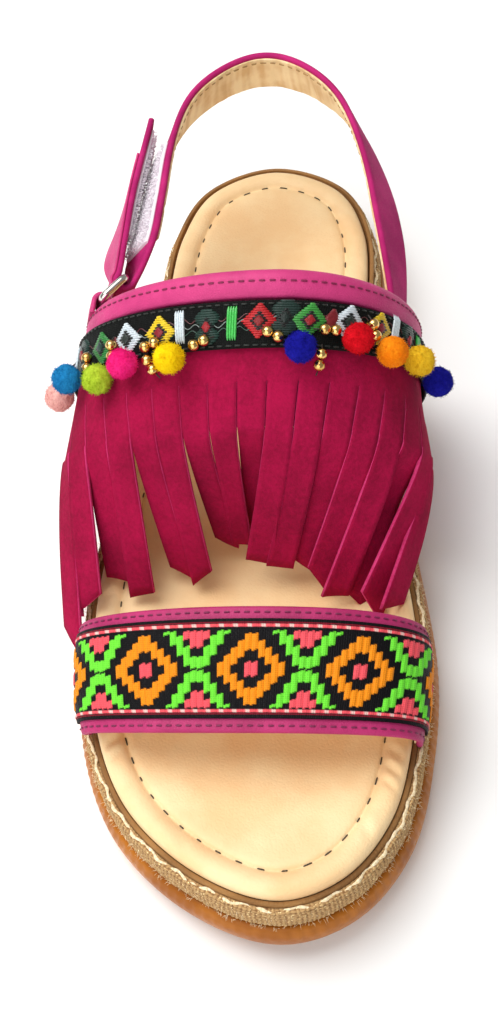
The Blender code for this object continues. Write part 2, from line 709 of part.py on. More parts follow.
def ball(centre, diameter, around, rings):
    """Points and faces of a ball."""
    radius = diameter / 2
    points = [centre + np.array([0.0, 0.0, radius])]
    for r in range(1, rings):
        polar = math.pi * r / rings
        for k in range(around):
            turn = 2 * math.pi * k / around
            points.append(centre + radius * np.array([math.sin(polar) * math.cos(turn),
                                                      math.sin(polar) * math.sin(turn), math.cos(polar)]))
    points.append(centre - np.array([0.0, 0.0, radius]))
    faces = [(0, 1 + k, 1 + (k + 1) % around) for k in range(around)]
    for r in range(rings - 2):
        for k in range(around):
            n = (k + 1) % around
            low, high = 1 + r * around, 1 + (r + 1) * around
            faces.append((low + k, high + k, high + n, low + n))
    last = len(points) - 1
    base = 1 + (rings - 2) * around
    faces += [(last, base + (k + 1) % around, base + k) for k in range(around)]
    return points, faces


def make_pompoms():
    """Felt balls hung along the braid's lower edge."""
    for i, pompom in enumerate(POMPOMS):
        seat = TRIMMING_BASE if pompom.drop < ON_TAPE_LIMIT else FRINGE_TOP + SEAT_GAP
        centre = strap_point(INSTEP_STRAP_EDGES, pompom.place, pompom.drop, seat + POMPOM_DIAMETER / 2)[0]
        points, faces = ball(centre, POMPOM_DIAMETER, 10, 7)
        solid(f"pompom_{i + 1:02d}", pompom.colour, points, faces, smooth_angle=180.0)


def make_bead_pairs():
    """Pairs of small gold beads strung between the pompoms, each pair fused into one piece."""
    stand = TRIMMING_BASE + BEAD_DIAMETER / 2
    for i, pair in enumerate(BEAD_PAIRS):
        middle = strap_point(INSTEP_STRAP_EDGES, pair.place, pair.drop, stand)[0]
        round_foot = strap_point(INSTEP_STRAP_EDGES, pair.place + 0.002, pair.drop, stand)[0] - middle
        forward = strap_point(INSTEP_STRAP_EDGES, pair.place, pair.drop + 0.3, stand)[0] - middle
        turn = math.radians(pair.turn)
        half = unit(unit(round_foot) * math.cos(turn) + unit(forward) * math.sin(turn))
        half = half * BEAD_DIAMETER * BEAD_PAIR_PITCH / 2
        name = f"bead_pair_{i + 1:02d}"
        bead = solid(name, "gold", *ball(middle - half, BEAD_DIAMETER, 8, 5), smooth_angle=180.0)
        other = solid(f"{name}_mate", "gold", *ball(middle + half, BEAD_DIAMETER, 8, 5), smooth_angle=180.0)
        other.hide_render = True
        other.display_type = "WIRE"
        join = bead.modifiers.new("thread", "BOOLEAN")
        join.operation = "UNION"
        join.object = other


def make_ring():
    """Rectangular wire ring with rounded corners."""
    front_bar, down, heading = ring_frame()
    forward = -heading
    centre = front_bar + heading * RING_WIDTH / 2
    normal = np.cross(down, forward)
    corner = 1.5
    sides = 8
    half_long, half_short = RING_LENGTH / 2, RING_WIDTH / 2
    path, outs = [], []
    for sign_long, sign_short, start in ((1, 1, 0), (-1, 1, 90), (-1, -1, 180), (1, -1, 270)):
        for step in range(3):
            angle = math.radians(start + 45 * step)
            heading = down * math.cos(angle) + forward * math.sin(angle)
            middle = centre + down * sign_long * (half_long - corner) + forward * sign_short * (half_short - corner)
            path.append(middle + heading * corner)
            outs.append(heading)
    radius = WIRE_DIAMETER / 2
    points, faces = [], []
    for place, out in zip(path, outs):
        for k in range(sides):
            turn = 2 * math.pi * k / sides
            points.append(place + radius * (out * math.cos(turn) + normal * math.sin(turn)))
    count = len(path)
    for i in range(count):
        for k in range(sides):
            j, n = (i + 1) % count, (k + 1) % sides
            faces.append((i * sides + k, i * sides + n, j * sides + n, j * sides + k))
    solid("ring", "steel", points, faces)


def make_ring_tab():
    """Leather loop that holds the ring against the instep strap's back edge."""
    bar, down, _ = ring_frame()
    forward = strap_point(INSTEP_STRAP_EDGES, RING_PLACE, -SEAT_GAP, RING_STAND)[0] - bar
    forward = forward - down * np.dot(forward, down)
    leg = np.linalg.norm(forward) - SEAT_GAP
    forward = unit(forward)
    normal = np.cross(down, forward)
    inner = WIRE_DIAMETER / 2 + SEAT_GAP
    outer = inner + TAB_THICKNESS
    arc = [math.radians(a) for a in range(-90, 91, 30)]
    profile = []
    for radius, angles in ((outer, arc), (inner, arc[::-1])):
        ends = [(-leg, math.copysign(radius, math.sin(angles[0]))), (-leg, math.copysign(radius, math.sin(angles[-1])))]
        turn = [(radius * math.cos(a), radius * math.sin(a)) for a in angles]
        profile += [ends[0], *turn, ends[1]]
    points = []
    for side in (-TAB_WIDTH / 2, TAB_WIDTH / 2):
        for back, lift in profile:
            points.append(bar - forward * back + normal * lift + down * side)
    count = len(profile)
    faces = [tuple(range(count)), tuple(range(2 * count - 1, count - 1, -1))]
    faces += [(i, (i + 1) % count, count + (i + 1) % count, count + i) for i in range(count)]
    solid("ring_tab", "pink_leather", points, faces)


def centre_on_origin():
    """Hangs every piece on an empty that puts the middle of the whole sandal's box over the origin."""
    bpy.context.view_layer.update()
    graph = bpy.context.evaluated_depsgraph_get()
    corners = []
    for piece in bpy.context.scene.objects:
        if not piece.hide_render:
            evaluated = piece.evaluated_get(graph)
            corners += [tuple(vertex.co) for vertex in evaluated.data.vertices]
    corners = np.array(corners)
    middle = (corners.min(axis=0) + corners.max(axis=0)) / 2
    root = bpy.data.objects.new("sandal", None)
    bpy.context.scene.collection.objects.link(root)
    for piece in list(bpy.context.scene.objects):
        if piece is not root:
            piece.parent = root
    root.location = (-middle[0], -middle[1], 0.0)


def main():
    clear_scene()
    edge = insole_edge()
    make_outsole(edge)
    make_midsole(edge)
    make_jute_band(edge)
    make_insole(edge)
    make_toe_strap()
    make_instep_strap()
    make_fastening_pads()
    make_fringe()
    make_ring()
    make_ring_tab()
    make_pompoms()
    make_bead_pairs()
    centre_on_origin()


main()
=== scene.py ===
"""Fringe sandal for the right foot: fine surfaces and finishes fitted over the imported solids.

Lengths are millimetres in the sandal's own frame: x across the foot with the lateral side negative, y from
toe to heel, z up from the floor. "Along" is the distance from the insole's toe tip, "place" runs from 0 at a
strap's lateral foot to 1 at its medial foot, and "drop" is the distance from a strap's back edge.
"""

import logging
import math
from dataclasses import dataclass, field
from enum import Enum
from functools import cache
from typing import Sequence

import bmesh
import bpy
import numpy as np
from mathutils import Matrix, Vector

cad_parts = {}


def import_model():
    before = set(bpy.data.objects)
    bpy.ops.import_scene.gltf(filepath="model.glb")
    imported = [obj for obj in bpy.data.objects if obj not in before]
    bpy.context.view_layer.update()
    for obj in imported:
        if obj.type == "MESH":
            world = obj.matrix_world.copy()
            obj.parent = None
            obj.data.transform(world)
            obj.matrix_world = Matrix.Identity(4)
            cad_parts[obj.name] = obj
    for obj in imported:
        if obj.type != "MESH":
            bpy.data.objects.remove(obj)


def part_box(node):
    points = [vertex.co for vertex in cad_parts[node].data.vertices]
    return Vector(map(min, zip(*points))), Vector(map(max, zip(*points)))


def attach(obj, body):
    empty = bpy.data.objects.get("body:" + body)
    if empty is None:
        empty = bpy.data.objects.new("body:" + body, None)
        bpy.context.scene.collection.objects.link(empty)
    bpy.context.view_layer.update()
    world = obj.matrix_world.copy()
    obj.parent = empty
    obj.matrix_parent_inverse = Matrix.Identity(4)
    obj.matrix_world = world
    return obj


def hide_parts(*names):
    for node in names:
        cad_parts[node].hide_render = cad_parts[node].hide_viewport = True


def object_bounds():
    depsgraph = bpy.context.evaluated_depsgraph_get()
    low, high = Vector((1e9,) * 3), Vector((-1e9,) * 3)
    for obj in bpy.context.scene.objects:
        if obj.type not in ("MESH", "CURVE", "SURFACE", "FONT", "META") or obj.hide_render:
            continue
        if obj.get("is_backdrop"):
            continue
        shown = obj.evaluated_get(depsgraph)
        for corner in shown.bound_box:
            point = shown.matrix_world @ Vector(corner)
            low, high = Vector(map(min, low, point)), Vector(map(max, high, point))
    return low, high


LOG = logging.getLogger("sandal")
Array = np.ndarray
Socket = bpy.types.NodeSocket
Node = bpy.types.Node
Tree = bpy.types.NodeTree
Material = bpy.types.Material
Colour = tuple[float, float, float, float]
Rows = tuple[tuple[float, ...], ...]

MM = 0.001
WELD = 1e-6
BODY = "root"
TAU = 2.0 * math.pi
UP = np.array([0.0, 0.0, 1.0])
# A direction that hardly any thread runs along
SKEW = np.array([0.31, 0.47, 0.83])


class Slot(Enum):
    """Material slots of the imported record."""

    RUBBER = "caramel_rubber"
    BOARD = "brown_board"
    JUTE = "jute"
    CREAM = "cream_leather"
    PINK = "pink_leather"
    RIBBON = "black_ribbon"
    SUEDE = "magenta_suede"
    STEEL = "steel"
    HOOKS = "hook_tape"
    GOLD = "gold"
    PALE_PINK = "pale_pink"
    SKY_BLUE = "sky_blue"
    LIME = "lime"
    HOT_PINK = "hot_pink"
    YELLOW = "yellow"
    ROYAL_BLUE = "royal_blue"
    RED = "red"
    ORANGE = "orange"
    MUSTARD = "mustard"


def linear(code: str) -> Colour:
    """A screen colour as linear light.

    Args:
        code: The colour as #rrggbb.

    Returns:
        Red, green, blue and an alpha of one.
    """
    parts = np.array([int(code[i:i + 2], 16) for i in (1, 3, 5)]) / 255.0
    light = np.where(parts <= 0.04045, parts / 12.92, ((parts + 0.055) / 1.055) ** 2.4)
    return (*light.tolist(), 1.0)


def dyed(code: str, *shape: int) -> Array:
    """One screen colour as the dye of an array of points."""
    return np.broadcast_to(np.array(linear(code)), (*shape, 4))


# Curves and surfaces

def unit(vectors: Array) -> Array:
    """The vectors at a length of one."""
    return vectors / np.maximum(np.linalg.norm(vectors, axis=-1, keepdims=True), 1e-12)


def smooth_through(rows: Array, closed: bool, steps: int) -> Array:
    """A centripetal Catmull-Rom curve: each span blends three straight runs by knots of root chord length.

    Args:
        rows: Points that the curve goes through.
        closed: Whether the last point joins the first.
        steps: Steps from point to point.

    Returns:
        Points along the curve.
    """
    rows = np.asarray(rows, float)
    if closed:
        padded = np.vstack([rows[-1], rows, rows[0], rows[1]])
    else:
        padded = np.vstack([2 * rows[0] - rows[1], rows, 2 * rows[-1] - rows[-2]])
    chord = np.maximum(np.linalg.norm(np.diff(padded, axis=0), axis=1), 1e-6) ** 0.5
    knots = np.concatenate([[0.0], np.cumsum(chord)])
    spans = len(padded) - 3
    k0, k1, k2, k3 = (knots[i:i + spans, None, None] for i in range(4))
    p0, p1, p2, p3 = (padded[i:i + spans, None] for i in range(4))
    t = k1 + (k2 - k1) * np.linspace(0.0, 1.0, steps, endpoint=False)[None, :, None]
    a1 = p0 + (p1 - p0) * (t - k0) / (k1 - k0)
    a2 = p1 + (p2 - p1) * (t - k1) / (k2 - k1)
    a3 = p2 + (p3 - p2) * (t - k2) / (k3 - k2)
    b1 = a1 + (a2 - a1) * (t - k0) / (k2 - k0)
    b2 = a2 + (a3 - a2) * (t - k1) / (k3 - k1)
    curve = (b1 + (b2 - b1) * (t - k1) / (k2 - k1)).reshape(-1, rows.shape[1])
    return curve if closed else np.vstack([curve, rows[-1]])


def run_lengths(curve: Array) -> Array:
    """The distance along a curve at each of its points."""
    return np.concatenate([[0.0], np.cumsum(np.linalg.norm(np.diff(curve, axis=0), axis=1))])


def evenly(curve: Array, count: int) -> Array:
    """The curve as so many equal steps of its length.

    Args:
        curve: Points along the curve.
        count: Number of steps.

    Returns:
        One point more than there are steps.
    """
    lengths = run_lengths(curve)
    wanted = np.linspace(0.0, lengths[-1], count + 1)
    return np.column_stack([np.interp(wanted, lengths, column) for column in curve.T])


def bell(value: Array, middle: float, spread: float) -> Array:
    """A soft hump of height one: exp of minus the squared distance from its middle in spreads."""
    return np.exp(-((value - middle) / spread) ** 2)


def step_up(value: Array, low: float, high: float) -> Array:
    """A smooth step from 0 at low to 1 at high: 3 t squared minus 2 t cubed."""
    t = np.clip((value - low) / (high - low), 0.0, 1.0)
    return t * t * (3.0 - 2.0 * t)


@dataclass
class Surface:
    """Points in millimetres with their faces, and for each point a cloth place and a dye."""

    points: Array
    faces: list[Array]
    chart: Array | None = None
    dye: Array | None = None

    @staticmethod
    def joined(parts: Sequence["Surface"]) -> "Surface":
        """Several surfaces as one.

        Args:
            parts: Surfaces that all have, or all lack, a chart and a dye.

        Returns:
            One surface with every point and face.
        """
        starts = np.concatenate([[0], np.cumsum([len(part.points) for part in parts])])
        faces = [block + start for part, start in zip(parts, starts) for block in part.faces]
        chart = None if parts[0].chart is None else np.vstack([part.chart for part in parts])
        dye = None if parts[0].dye is None else np.vstack([part.dye for part in parts])
        return Surface(np.vstack([part.points for part in parts]), faces, chart, dye)


def grid_faces(rows: int, columns: int) -> Array:
    """Quads between the points of a grid that is stored row by row."""
    first = (np.arange(rows - 1)[:, None] * columns + np.arange(columns - 1)[None, :]).ravel()
    return np.column_stack([first, first + 1, first + columns + 1, first + columns])


def grid_surface(points: Array, chart: Array | None = None, dye: Array | None = None) -> Surface:
    """A grid of points as a surface.

    Args:
        points: Points by row and column.
        chart: Cloth place of each point.
        dye: Colour of each point.

    Returns:
        The surface, with equal points left for the weld.
    """
    rows, columns = points.shape[:2]
    flat_chart = None if chart is None else chart.reshape(-1, 2)
    flat_dye = None if dye is None else dye.reshape(-1, 4)
    return Surface(points.reshape(-1, 3), [grid_faces(rows, columns)], flat_chart, flat_dye)


def layer(*grids: Array) -> Surface:
    """Several grids of points as one surface."""
    return Surface.joined([grid_surface(grid) for grid in grids])


def charted(along: Array, across: Array) -> Array:
    """The cloth place of each point of a grid, from those of its rows and its columns."""
    return np.stack(np.broadcast_arrays(along[:, None], across[None]), axis=-1)


def swept(points: Array, chart: Array | None = None, dye: Array | None = None) -> Surface:
    """A section carried along a path, with both ends closed by ladders across the section.

    Args:
        points: Points by station and round the section, where the last of each section equals its first.
        chart: Cloth place of each point.
        dye: Colour of each point.

    Returns:
        A closed surface.
    """
    made = grid_surface(points, chart, dye)
    stations, around = points.shape[:2]
    count = around - 1
    rung = np.arange(count // 2 - 1)
    ladder = np.column_stack([rung, rung + 1, count - 2 - rung, count - 1 - rung])
    made.faces += [ladder, ladder[:, ::-1] + (stations - 1) * around]
    return made


def tubes(lines: Array, radii: Array | float, up: Array, sides: int, dye: Array | None = None) -> Surface:
    """Round threads: each ring is centre + radius (side cos a + lift sin a), square to its line.

    Args:
        lines: Centre points by thread and station.
        radii: Radius by thread and station, nil where a thread closes to a point.
        up: A direction for each thread and station that isn't along it.
        sides: Points round each ring.
        dye: Colour of each thread.

    Returns:
        All the threads as one surface.
    """
    threads, stations = lines.shape[:2]
    run = unit(np.gradient(lines, axis=1))
    side = unit(np.cross(run, np.broadcast_to(up, lines.shape)))
    lift = np.cross(side, run)
    turn = np.linspace(0.0, TAU, sides + 1)[:, None]
    ring = side[:, :, None] * np.cos(turn) + lift[:, :, None] * np.sin(turn)
    ring[:, :, -1] = ring[:, :, 0]
    points = lines[:, :, None] + np.broadcast_to(radii, (threads, stations))[..., None, None] * ring
    starts = np.arange(threads)[:, None, None] * stations * (sides + 1)
    faces = (grid_faces(stations, sides + 1)[None] + starts).reshape(-1, 4)
    dyes = None if dye is None else np.repeat(dye, stations * (sides + 1), axis=0)
    return Surface(points.reshape(-1, 3), [faces], dye=dyes)


def slab_loop(start: float, end: float, low: float, high: float, steps: int) -> tuple[Array, Array]:
    """The section of a flat strip: two flat faces joined by half-round edges.

    Args:
        start: Where the strip begins across its width.
        end: Where it ends.
        low: Height of its under face.
        high: Height of its upper face.
        steps: Points across each face.

    Returns:
        Places across and heights round the section, the last equal to the first.
    """
    radius = (high - low) / 2
    turn = np.linspace(math.pi / 2, -math.pi / 2, 8)[1:-1]
    face = np.linspace(start + radius, end - radius, steps)
    far = (end - radius + radius * np.cos(turn), low + radius + radius * np.sin(turn))
    near = (start + radius - radius * np.cos(turn), low + radius - radius * np.sin(turn))
    across = np.concatenate([face, far[0], face[::-1], near[0], face[:1]])
    height = np.concatenate([np.full(steps, high), far[1], np.full(steps, low), near[1], [high]])
    return across, height


def folded_loop(line: Array, thickness: Array) -> tuple[Array, Array]:
    """The section of a strip folded along a line: the line moved to both sides by half its thickness.

    Args:
        line: Points along the middle of the fold as (across, height).
        thickness: Thickness at each of them.

    Returns:
        Places across and heights round the section, the last equal to the first.
    """
    run = unit(np.gradient(line, axis=0))
    side = np.column_stack([-run[:, 1], run[:, 0]]) * thickness[:, None] / 2
    loop = np.vstack([line + side, (line - side)[::-1], line[:1] + side[:1]])
    return loop[:, 0], loop[:, 1]


def ball_ways(around: int, rings: int) -> Array:
    """Outward directions of a ball on a grid of polar angle and turn.

    Args:
        around: Steps round the ball.
        rings: Steps from pole to pole.

    Returns:
        The direction of each grid point.
    """
    polar = np.linspace(0.0, math.pi, rings + 1)[:, None]
    turn = np.linspace(0.0, TAU, around + 1)[None, :]
    parts = np.sin(polar) * np.cos(turn), np.sin(polar) * np.sin(turn), np.cos(polar)
    ways = np.stack(np.broadcast_arrays(*parts), axis=-1)
    ways[:, -1] = ways[:, 0]
    return ways


def ball(points: Array) -> Surface:
    """A grid round a ball as a surface, with its seam and its poles drawn together."""
    points[:, -1] = points[:, 0]
    points[0], points[-1] = points[0, 0], points[-1, 0]
    return grid_surface(points)


def plane_waves(points: Array, seed: int, count: int, length: float) -> Array:
    """A smooth random field from -1 to 1 or so: the mean of sines along seeded directions.

    Args:
        points: Where the field is wanted, in millimetres.
        seed: Seed of the directions and phases.
        count: Number of sines.
        length: Wave length in millimetres.

    Returns:
        The field at each point.
    """
    rng = np.random.default_rng(seed)
    ways = unit(rng.normal(size=(count, 3))) * TAU / (length * rng.uniform(0.6, 1.5, (count, 1)))
    phase = rng.uniform(0.0, TAU, count)
    return np.sin(points @ ways.T + phase).sum(axis=-1) / math.sqrt(count)


# Node building

class Graph:
    """Adds nodes to one node tree and links them."""

    def __init__(self, tree: Tree) -> None:
        """Keeps the tree."""
        self.tree = tree

    def node(self, kind: str, **settings: object) -> Node:
        """A new node.

        Args:
            kind: Blender's name of the node type.
            settings: Properties to set on it.

        Returns:
            The node.
        """
        made = self.tree.nodes.new(kind)
        for name, value in settings.items():
            setattr(made, name, value)
        return made

    def feed(self, socket: Socket, value: object) -> None:
        """Links a socket to another, or sets its own value, where a text is a screen colour."""
        if isinstance(value, Socket):
            self.tree.links.new(value, socket)
        else:
            socket.default_value = linear(value) if isinstance(value, str) else value

    def wired(self, node: Node, **inputs: object) -> Node:
        """Links or sets a node's inputs.

        Args:
            node: The node.
            inputs: Sockets or values for its inputs, by name, with _ for a space.

        Returns:
            The same node.
        """
        for name, value in inputs.items():
            self.feed(node.inputs[name.replace("_", " ")], value)
        return node

    def maths(self, operation: str, *values: object) -> Socket:
        """A Math node's result.

        Args:
            operation: Blender's name of the operation.
            values: Sockets or numbers.

        Returns:
            The result socket.
        """
        made = self.node("ShaderNodeMath", operation=operation)
        for socket, value in zip(made.inputs, values):
            self.feed(socket, value)
        return made.outputs[0]

    def weighed(self, *parts: tuple[Socket, float]) -> Socket:
        """The sum of several values, each times its weight.

        Args:
            parts: Values with their weights.

        Returns:
            The sum.
        """
        total, *rest = [self.maths("MULTIPLY", value, weight) for value, weight in parts]
        for term in rest:
            total = self.maths("ADD", total, term)
        return total

    def mix(self, share: object, first: object, second: object, blend: str = "MIX") -> Socket:
        """Two colours mixed.

        Args:
            share: How much of the second.
            first: First colour.
            second: Second colour.
            blend: Blender's name of the blend.

        Returns:
            The mixed colour.
        """
        made = self.node("ShaderNodeMix", data_type="RGBA", blend_type=blend)
        self.feed(made.inputs["Factor"], share)
        self.feed(made.inputs[6], first)
        self.feed(made.inputs[7], second)
        return made.outputs[2]

    def noise(self, vector: Socket, scale: object, detail: float = 3.0, rough: float = 0.55) -> Socket:
        """A noise field from 0 to 1, by place, scale, octaves and the strength of the finer octaves."""
        made = self.node("ShaderNodeTexNoise")
        return self.wired(made, Vector=vector, Scale=scale, Detail=detail, Roughness=rough).outputs["Fac"]

    def spread(self, value: Socket, low: float, high: float, to_low: float = 0.0,
               to_high: float = 1.0) -> Socket:
        """A value carried smoothly from one range to another.

        Args:
            value: The value.
            low: Start of its range.
            high: End of its range.
            to_low: Result at the start.
            to_high: Result at the end.

        Returns:
            The new value.
        """
        made = self.node("ShaderNodeMapRange", interpolation_type="SMOOTHSTEP")
        self.wired(made, Value=value, From_Min=low, From_Max=high, To_Min=to_low, To_Max=to_high)
        return made.outputs["Result"]

    def stretched(self, vector: Socket, scale: tuple[float, float, float]) -> Socket:
        """Coordinates scaled along each axis."""
        made = self.node("ShaderNodeMapping", vector_type="POINT")
        return self.wired(made, Vector=vector, Scale=scale).outputs["Vector"]

    def solid_place(self) -> Socket:
        """The object's own coordinates, in metres."""
        return self.node("ShaderNodeTexCoord").outputs["Object"]

    def cloth_place(self) -> Socket:
        """The cloth's own chart, in millimetres along and across."""
        return self.node("ShaderNodeUVMap", uv_map="chart").outputs["UV"]

    def shaded_dye(self, light: Socket) -> Socket:
        """The dye laid on the piece's points, darkened by a light.

        Args:
            light: The light, from 0 to 1.

        Returns:
            The darkened colour.
        """
        dye = self.node("ShaderNodeAttribute", attribute_name="dye")
        grey = self.node("ShaderNodeCombineXYZ")
        for axis in grey.inputs:
            self.feed(axis, light)
        return self.mix(1.0, dye.outputs["Color"], grey.outputs[0], "MULTIPLY")

    def bump(self, height: Socket, depth: float) -> Socket:
        """A normal bent by a height from 0 to 1, where one is a depth in millimetres."""
        made = self.node("ShaderNodeBump")
        return self.wired(made, Height=height, Distance=depth * MM, Strength=1.0).outputs["Normal"]

    def effect(self, tree: Tree, **inputs: object) -> Node:
        """A shared effect placed in this tree, with sockets or values for its inputs."""
        return self.wired(self.node("ShaderNodeGroup", node_tree=tree), **inputs)


class Effects:
    """Node groups that several finishes share, each built at its first use."""

    @staticmethod
    def begin(name: str, place: str, size: str, *results: str) -> tuple[Graph, Node, Socket, Socket]:
        """A new group that takes a place and a size.

        Args:
            name: The group's name.
            place: Name of its input for the place.
            size: Name of its input for the size.
            results: Names of its outputs, all plain values.

        Returns:
            The group's graph, its output node, and the place and the size.
        """
        tree = bpy.data.node_groups.new(name, "ShaderNodeTree")
        sockets = [(place, "INPUT", "NodeSocketVector"), (size, "INPUT", "NodeSocketFloat")]
        sockets += [(result, "OUTPUT", "NodeSocketFloat") for result in results]
        for label, way, kind in sockets:
            tree.interface.new_socket(label, in_out=way, socket_type=kind)
        graph = Graph(tree)
        source = graph.node("NodeGroupInput")
        return graph, graph.node("NodeGroupOutput"), source.outputs[place], source.outputs[size]

    @staticmethod
    @cache
    def grain() -> Tree:
        """Hide grain: pebbles from a cell pattern with soft furrows, finer pores, and broad patches of tone.

        Returns:
            The group.
        """
        graph, sink, place, pebbles = Effects.begin("hide_grain", "Place", "Pebbles", "Height", "Tone")
        cells = graph.node("ShaderNodeTexVoronoi", feature="DISTANCE_TO_EDGE")
        graph.wired(cells, Vector=place, Scale=pebbles)
        pebble = graph.spread(cells.outputs["Distance"], 0.0, 0.35)
        pores = graph.noise(place, graph.maths("MULTIPLY", pebbles, 2.5), 2.0)
        patches = graph.noise(place, graph.maths("MULTIPLY", pebbles, 0.06), 4.0)
        graph.wired(sink, Height=graph.weighed((pebble, 0.7), (pores, 0.6)), Tone=patches)
        return graph.tree

    @staticmethod
    @cache
    def weave() -> Tree:
        """Plain weave: warp and weft are ridges of |cos|, and their crossing sign says which one is on top.

        Returns:
            The group.
        """
        graph, sink, chart, pitch = Effects.begin("plain_weave", "Chart", "Pitch", "Height")
        axes = graph.node("ShaderNodeSeparateXYZ")
        graph.feed(axes.inputs[0], chart)
        turns = [graph.maths("DIVIDE", axes.outputs[name], pitch) for name in ("X", "Y")]
        waves = [graph.maths("COSINE", graph.maths("MULTIPLY", turn, math.pi)) for turn in turns]
        over = graph.maths("MULTIPLY_ADD", graph.maths("MULTIPLY", *waves), 0.5, 0.5)
        under = graph.maths("SUBTRACT", 1.0, over)
        ridges = [graph.maths("MULTIPLY", graph.maths("ABSOLUTE", wave), share)
                  for wave, share in zip(waves, (over, under))]
        graph.wired(sink, Height=graph.maths("MAXIMUM", *ridges))
        return graph.tree

    @staticmethod
    @cache
    def nap() -> Tree:
        """Brushed fibre: fine noise for the pile and broad noise for where it was stroked.

        Returns:
            The group.
        """
        graph, sink, place, fibres = Effects.begin("brushed_nap", "Place", "Fibres", "Height", "Tone")
        pile = graph.noise(place, fibres, 4.0, 0.7)
        strokes = graph.noise(place, graph.maths("MULTIPLY", fibres, 0.08), 3.0, 0.6)
        graph.wired(sink, Height=pile, Tone=graph.weighed((pile, 0.45), (strokes, 0.55)))
        return graph.tree


class Coating(Graph):
    """The nodes of one new material, round its shader."""

    def __init__(self, name: str) -> None:
        """Makes the material.

        Args:
            name: The material's name.
        """
        self.material = bpy.data.materials.new(name)
        self.material.use_nodes = True
        super().__init__(self.material.node_tree)

    def finished(self, **inputs: object) -> Material:
        """The material, once its shader's inputs are linked or set."""
        self.wired(self.tree.nodes["Principled BSDF"], **inputs)
        return self.material


@dataclass(frozen=True)
class Leather:
    """Dyed hide with pebbled grain and patches of deeper tone."""

    name: str
    bright: str
    deep: str
    roughness: float
    pebble: float
    depth: float
    coat: float = 0.0
    # How strongly crease shade and light are painted into the colour
    crease: float = 0.0
    shine: float = 0.28

    def make(self) -> Material:
        """Colour from broad tone and creases painted in as stripes of shade and light, gloss and normal from
        the grain and pores.

        Returns:
            The material.
        """
        graph = Coating(self.name)
        grain = graph.effect(Effects.grain(), Place=graph.solid_place(), Pebbles=1.0 / (self.pebble * MM))
        height, tone = grain.outputs["Height"], graph.spread(grain.outputs["Tone"], 0.3, 0.7)
        # Painted shade and light: noise stretched along the cloth chart darkens and lightens the colour in
        # stripes that stand for crease shading.
        if self.crease:
            folds = graph.noise(graph.stretched(graph.cloth_place(), (0.5, 0.04, 1.0)), 1.0, 1.5)
            tone = graph.maths("ADD", tone, graph.spread(folds, 0.28, 0.72, -self.crease, self.crease))
        return graph.finished(
            Base_Color=graph.mix(tone, self.deep, self.bright),
            Roughness=graph.spread(height, 0.2, 1.0, self.roughness + 0.12, self.roughness - 0.05),
            Normal=graph.bump(height, self.depth),
            Coat_Weight=self.coat, Coat_Roughness=0.3, Specular_IOR_Level=self.shine)


@dataclass(frozen=True)
class Suede:
    """Split hide with a brushed nap."""

    name: str
    bright: str
    deep: str
    sheen: float = 0.12
    fibre: float = 0.88
    contrast: float = 0.18
    depth: float = 0.16
    sheen_roughness: float = 0.5
    shine: float = 0.15

    def make(self) -> Material:
        """Nap tone in the colour, nap height in the normal, and sheen at its edges.

        Returns:
            The material.
        """
        graph = Coating(self.name)
        nap = graph.effect(Effects.nap(), Place=graph.solid_place(), Fibres=1.0 / (self.fibre * MM))
        tone = graph.spread(nap.outputs["Tone"], 0.5 - self.contrast, 0.5 + self.contrast)
        return graph.finished(
            Base_Color=graph.mix(tone, self.deep, self.bright),
            Normal=graph.bump(nap.outputs["Height"], self.depth),
            Roughness=0.95, Sheen_Weight=self.sheen, Sheen_Roughness=self.sheen_roughness,
            Sheen_Tint=self.bright, Specular_IOR_Level=self.shine)


@dataclass(frozen=True)
class Felt(Suede):
    """Matted wool: a finer, deeper and softer nap."""

    sheen: float = 0.3
    fibre: float = 1.0 / 1.8
    contrast: float = 0.15
    depth: float = 0.35
    sheen_roughness: float = 0.6
    shine: float = 0.1


@dataclass(frozen=True)
class Metal:
    """Plated metal with faint rubbing."""

    name: str
    bright: str
    worn: str
    roughness: float

    def make(self) -> Material:
        """Rubbed patches change both its colour and its gloss.

        Returns:
            The material.
        """
        graph = Coating(self.name)
        rub = graph.spread(graph.noise(graph.solid_place(), 220.0, 5.0), 0.4, 0.75)
        return graph.finished(
            Base_Color=graph.mix(rub, self.bright, self.worn),
            Roughness=graph.spread(rub, 0.0, 1.0, self.roughness, self.roughness + 0.1),
            Metallic=1.0)


@dataclass(frozen=True)
class Rubber:
    """Gum rubber with moulding streaks, and painted shade that darkens it towards its top."""

    name: str
    bright: str
    deep: str
    height: float

    def make(self) -> Material:
        """Painted shade darkens the tone with height, streaks round the side stain it, clouds and ripples
        change its gloss.

        Returns:
            The material.
        """
        graph = Coating(self.name)
        place = graph.solid_place()
        axes = graph.node("ShaderNodeSeparateXYZ")
        graph.feed(axes.inputs[0], place)
        # Painted shade: the colour runs to the deep tone with height, darkest at the top where the outsole
        # meets the jute band.
        rise = graph.spread(axes.outputs["Z"], 0.0, self.height * MM)
        streak = graph.noise(graph.stretched(place, (90.0, 90.0, 260.0)), 1.0, 4.0)
        cloud = graph.noise(place, 90.0, 4.0)
        stain = graph.spread(graph.maths("ADD", streak, cloud), 0.75, 1.25)
        ripple = graph.noise(graph.stretched(place, (420.0, 420.0, 60.0)), 1.0, 3.0)
        return graph.finished(
            Base_Color=graph.mix(graph.weighed((rise, 0.72), (stain, 0.3)), self.bright, self.deep),
            Roughness=graph.spread(cloud, 0.3, 0.7, 0.26, 0.42),
            Normal=graph.bump(ripple, 0.12),
            Coat_Weight=0.06, Coat_Roughness=0.2, Specular_IOR_Level=0.12)


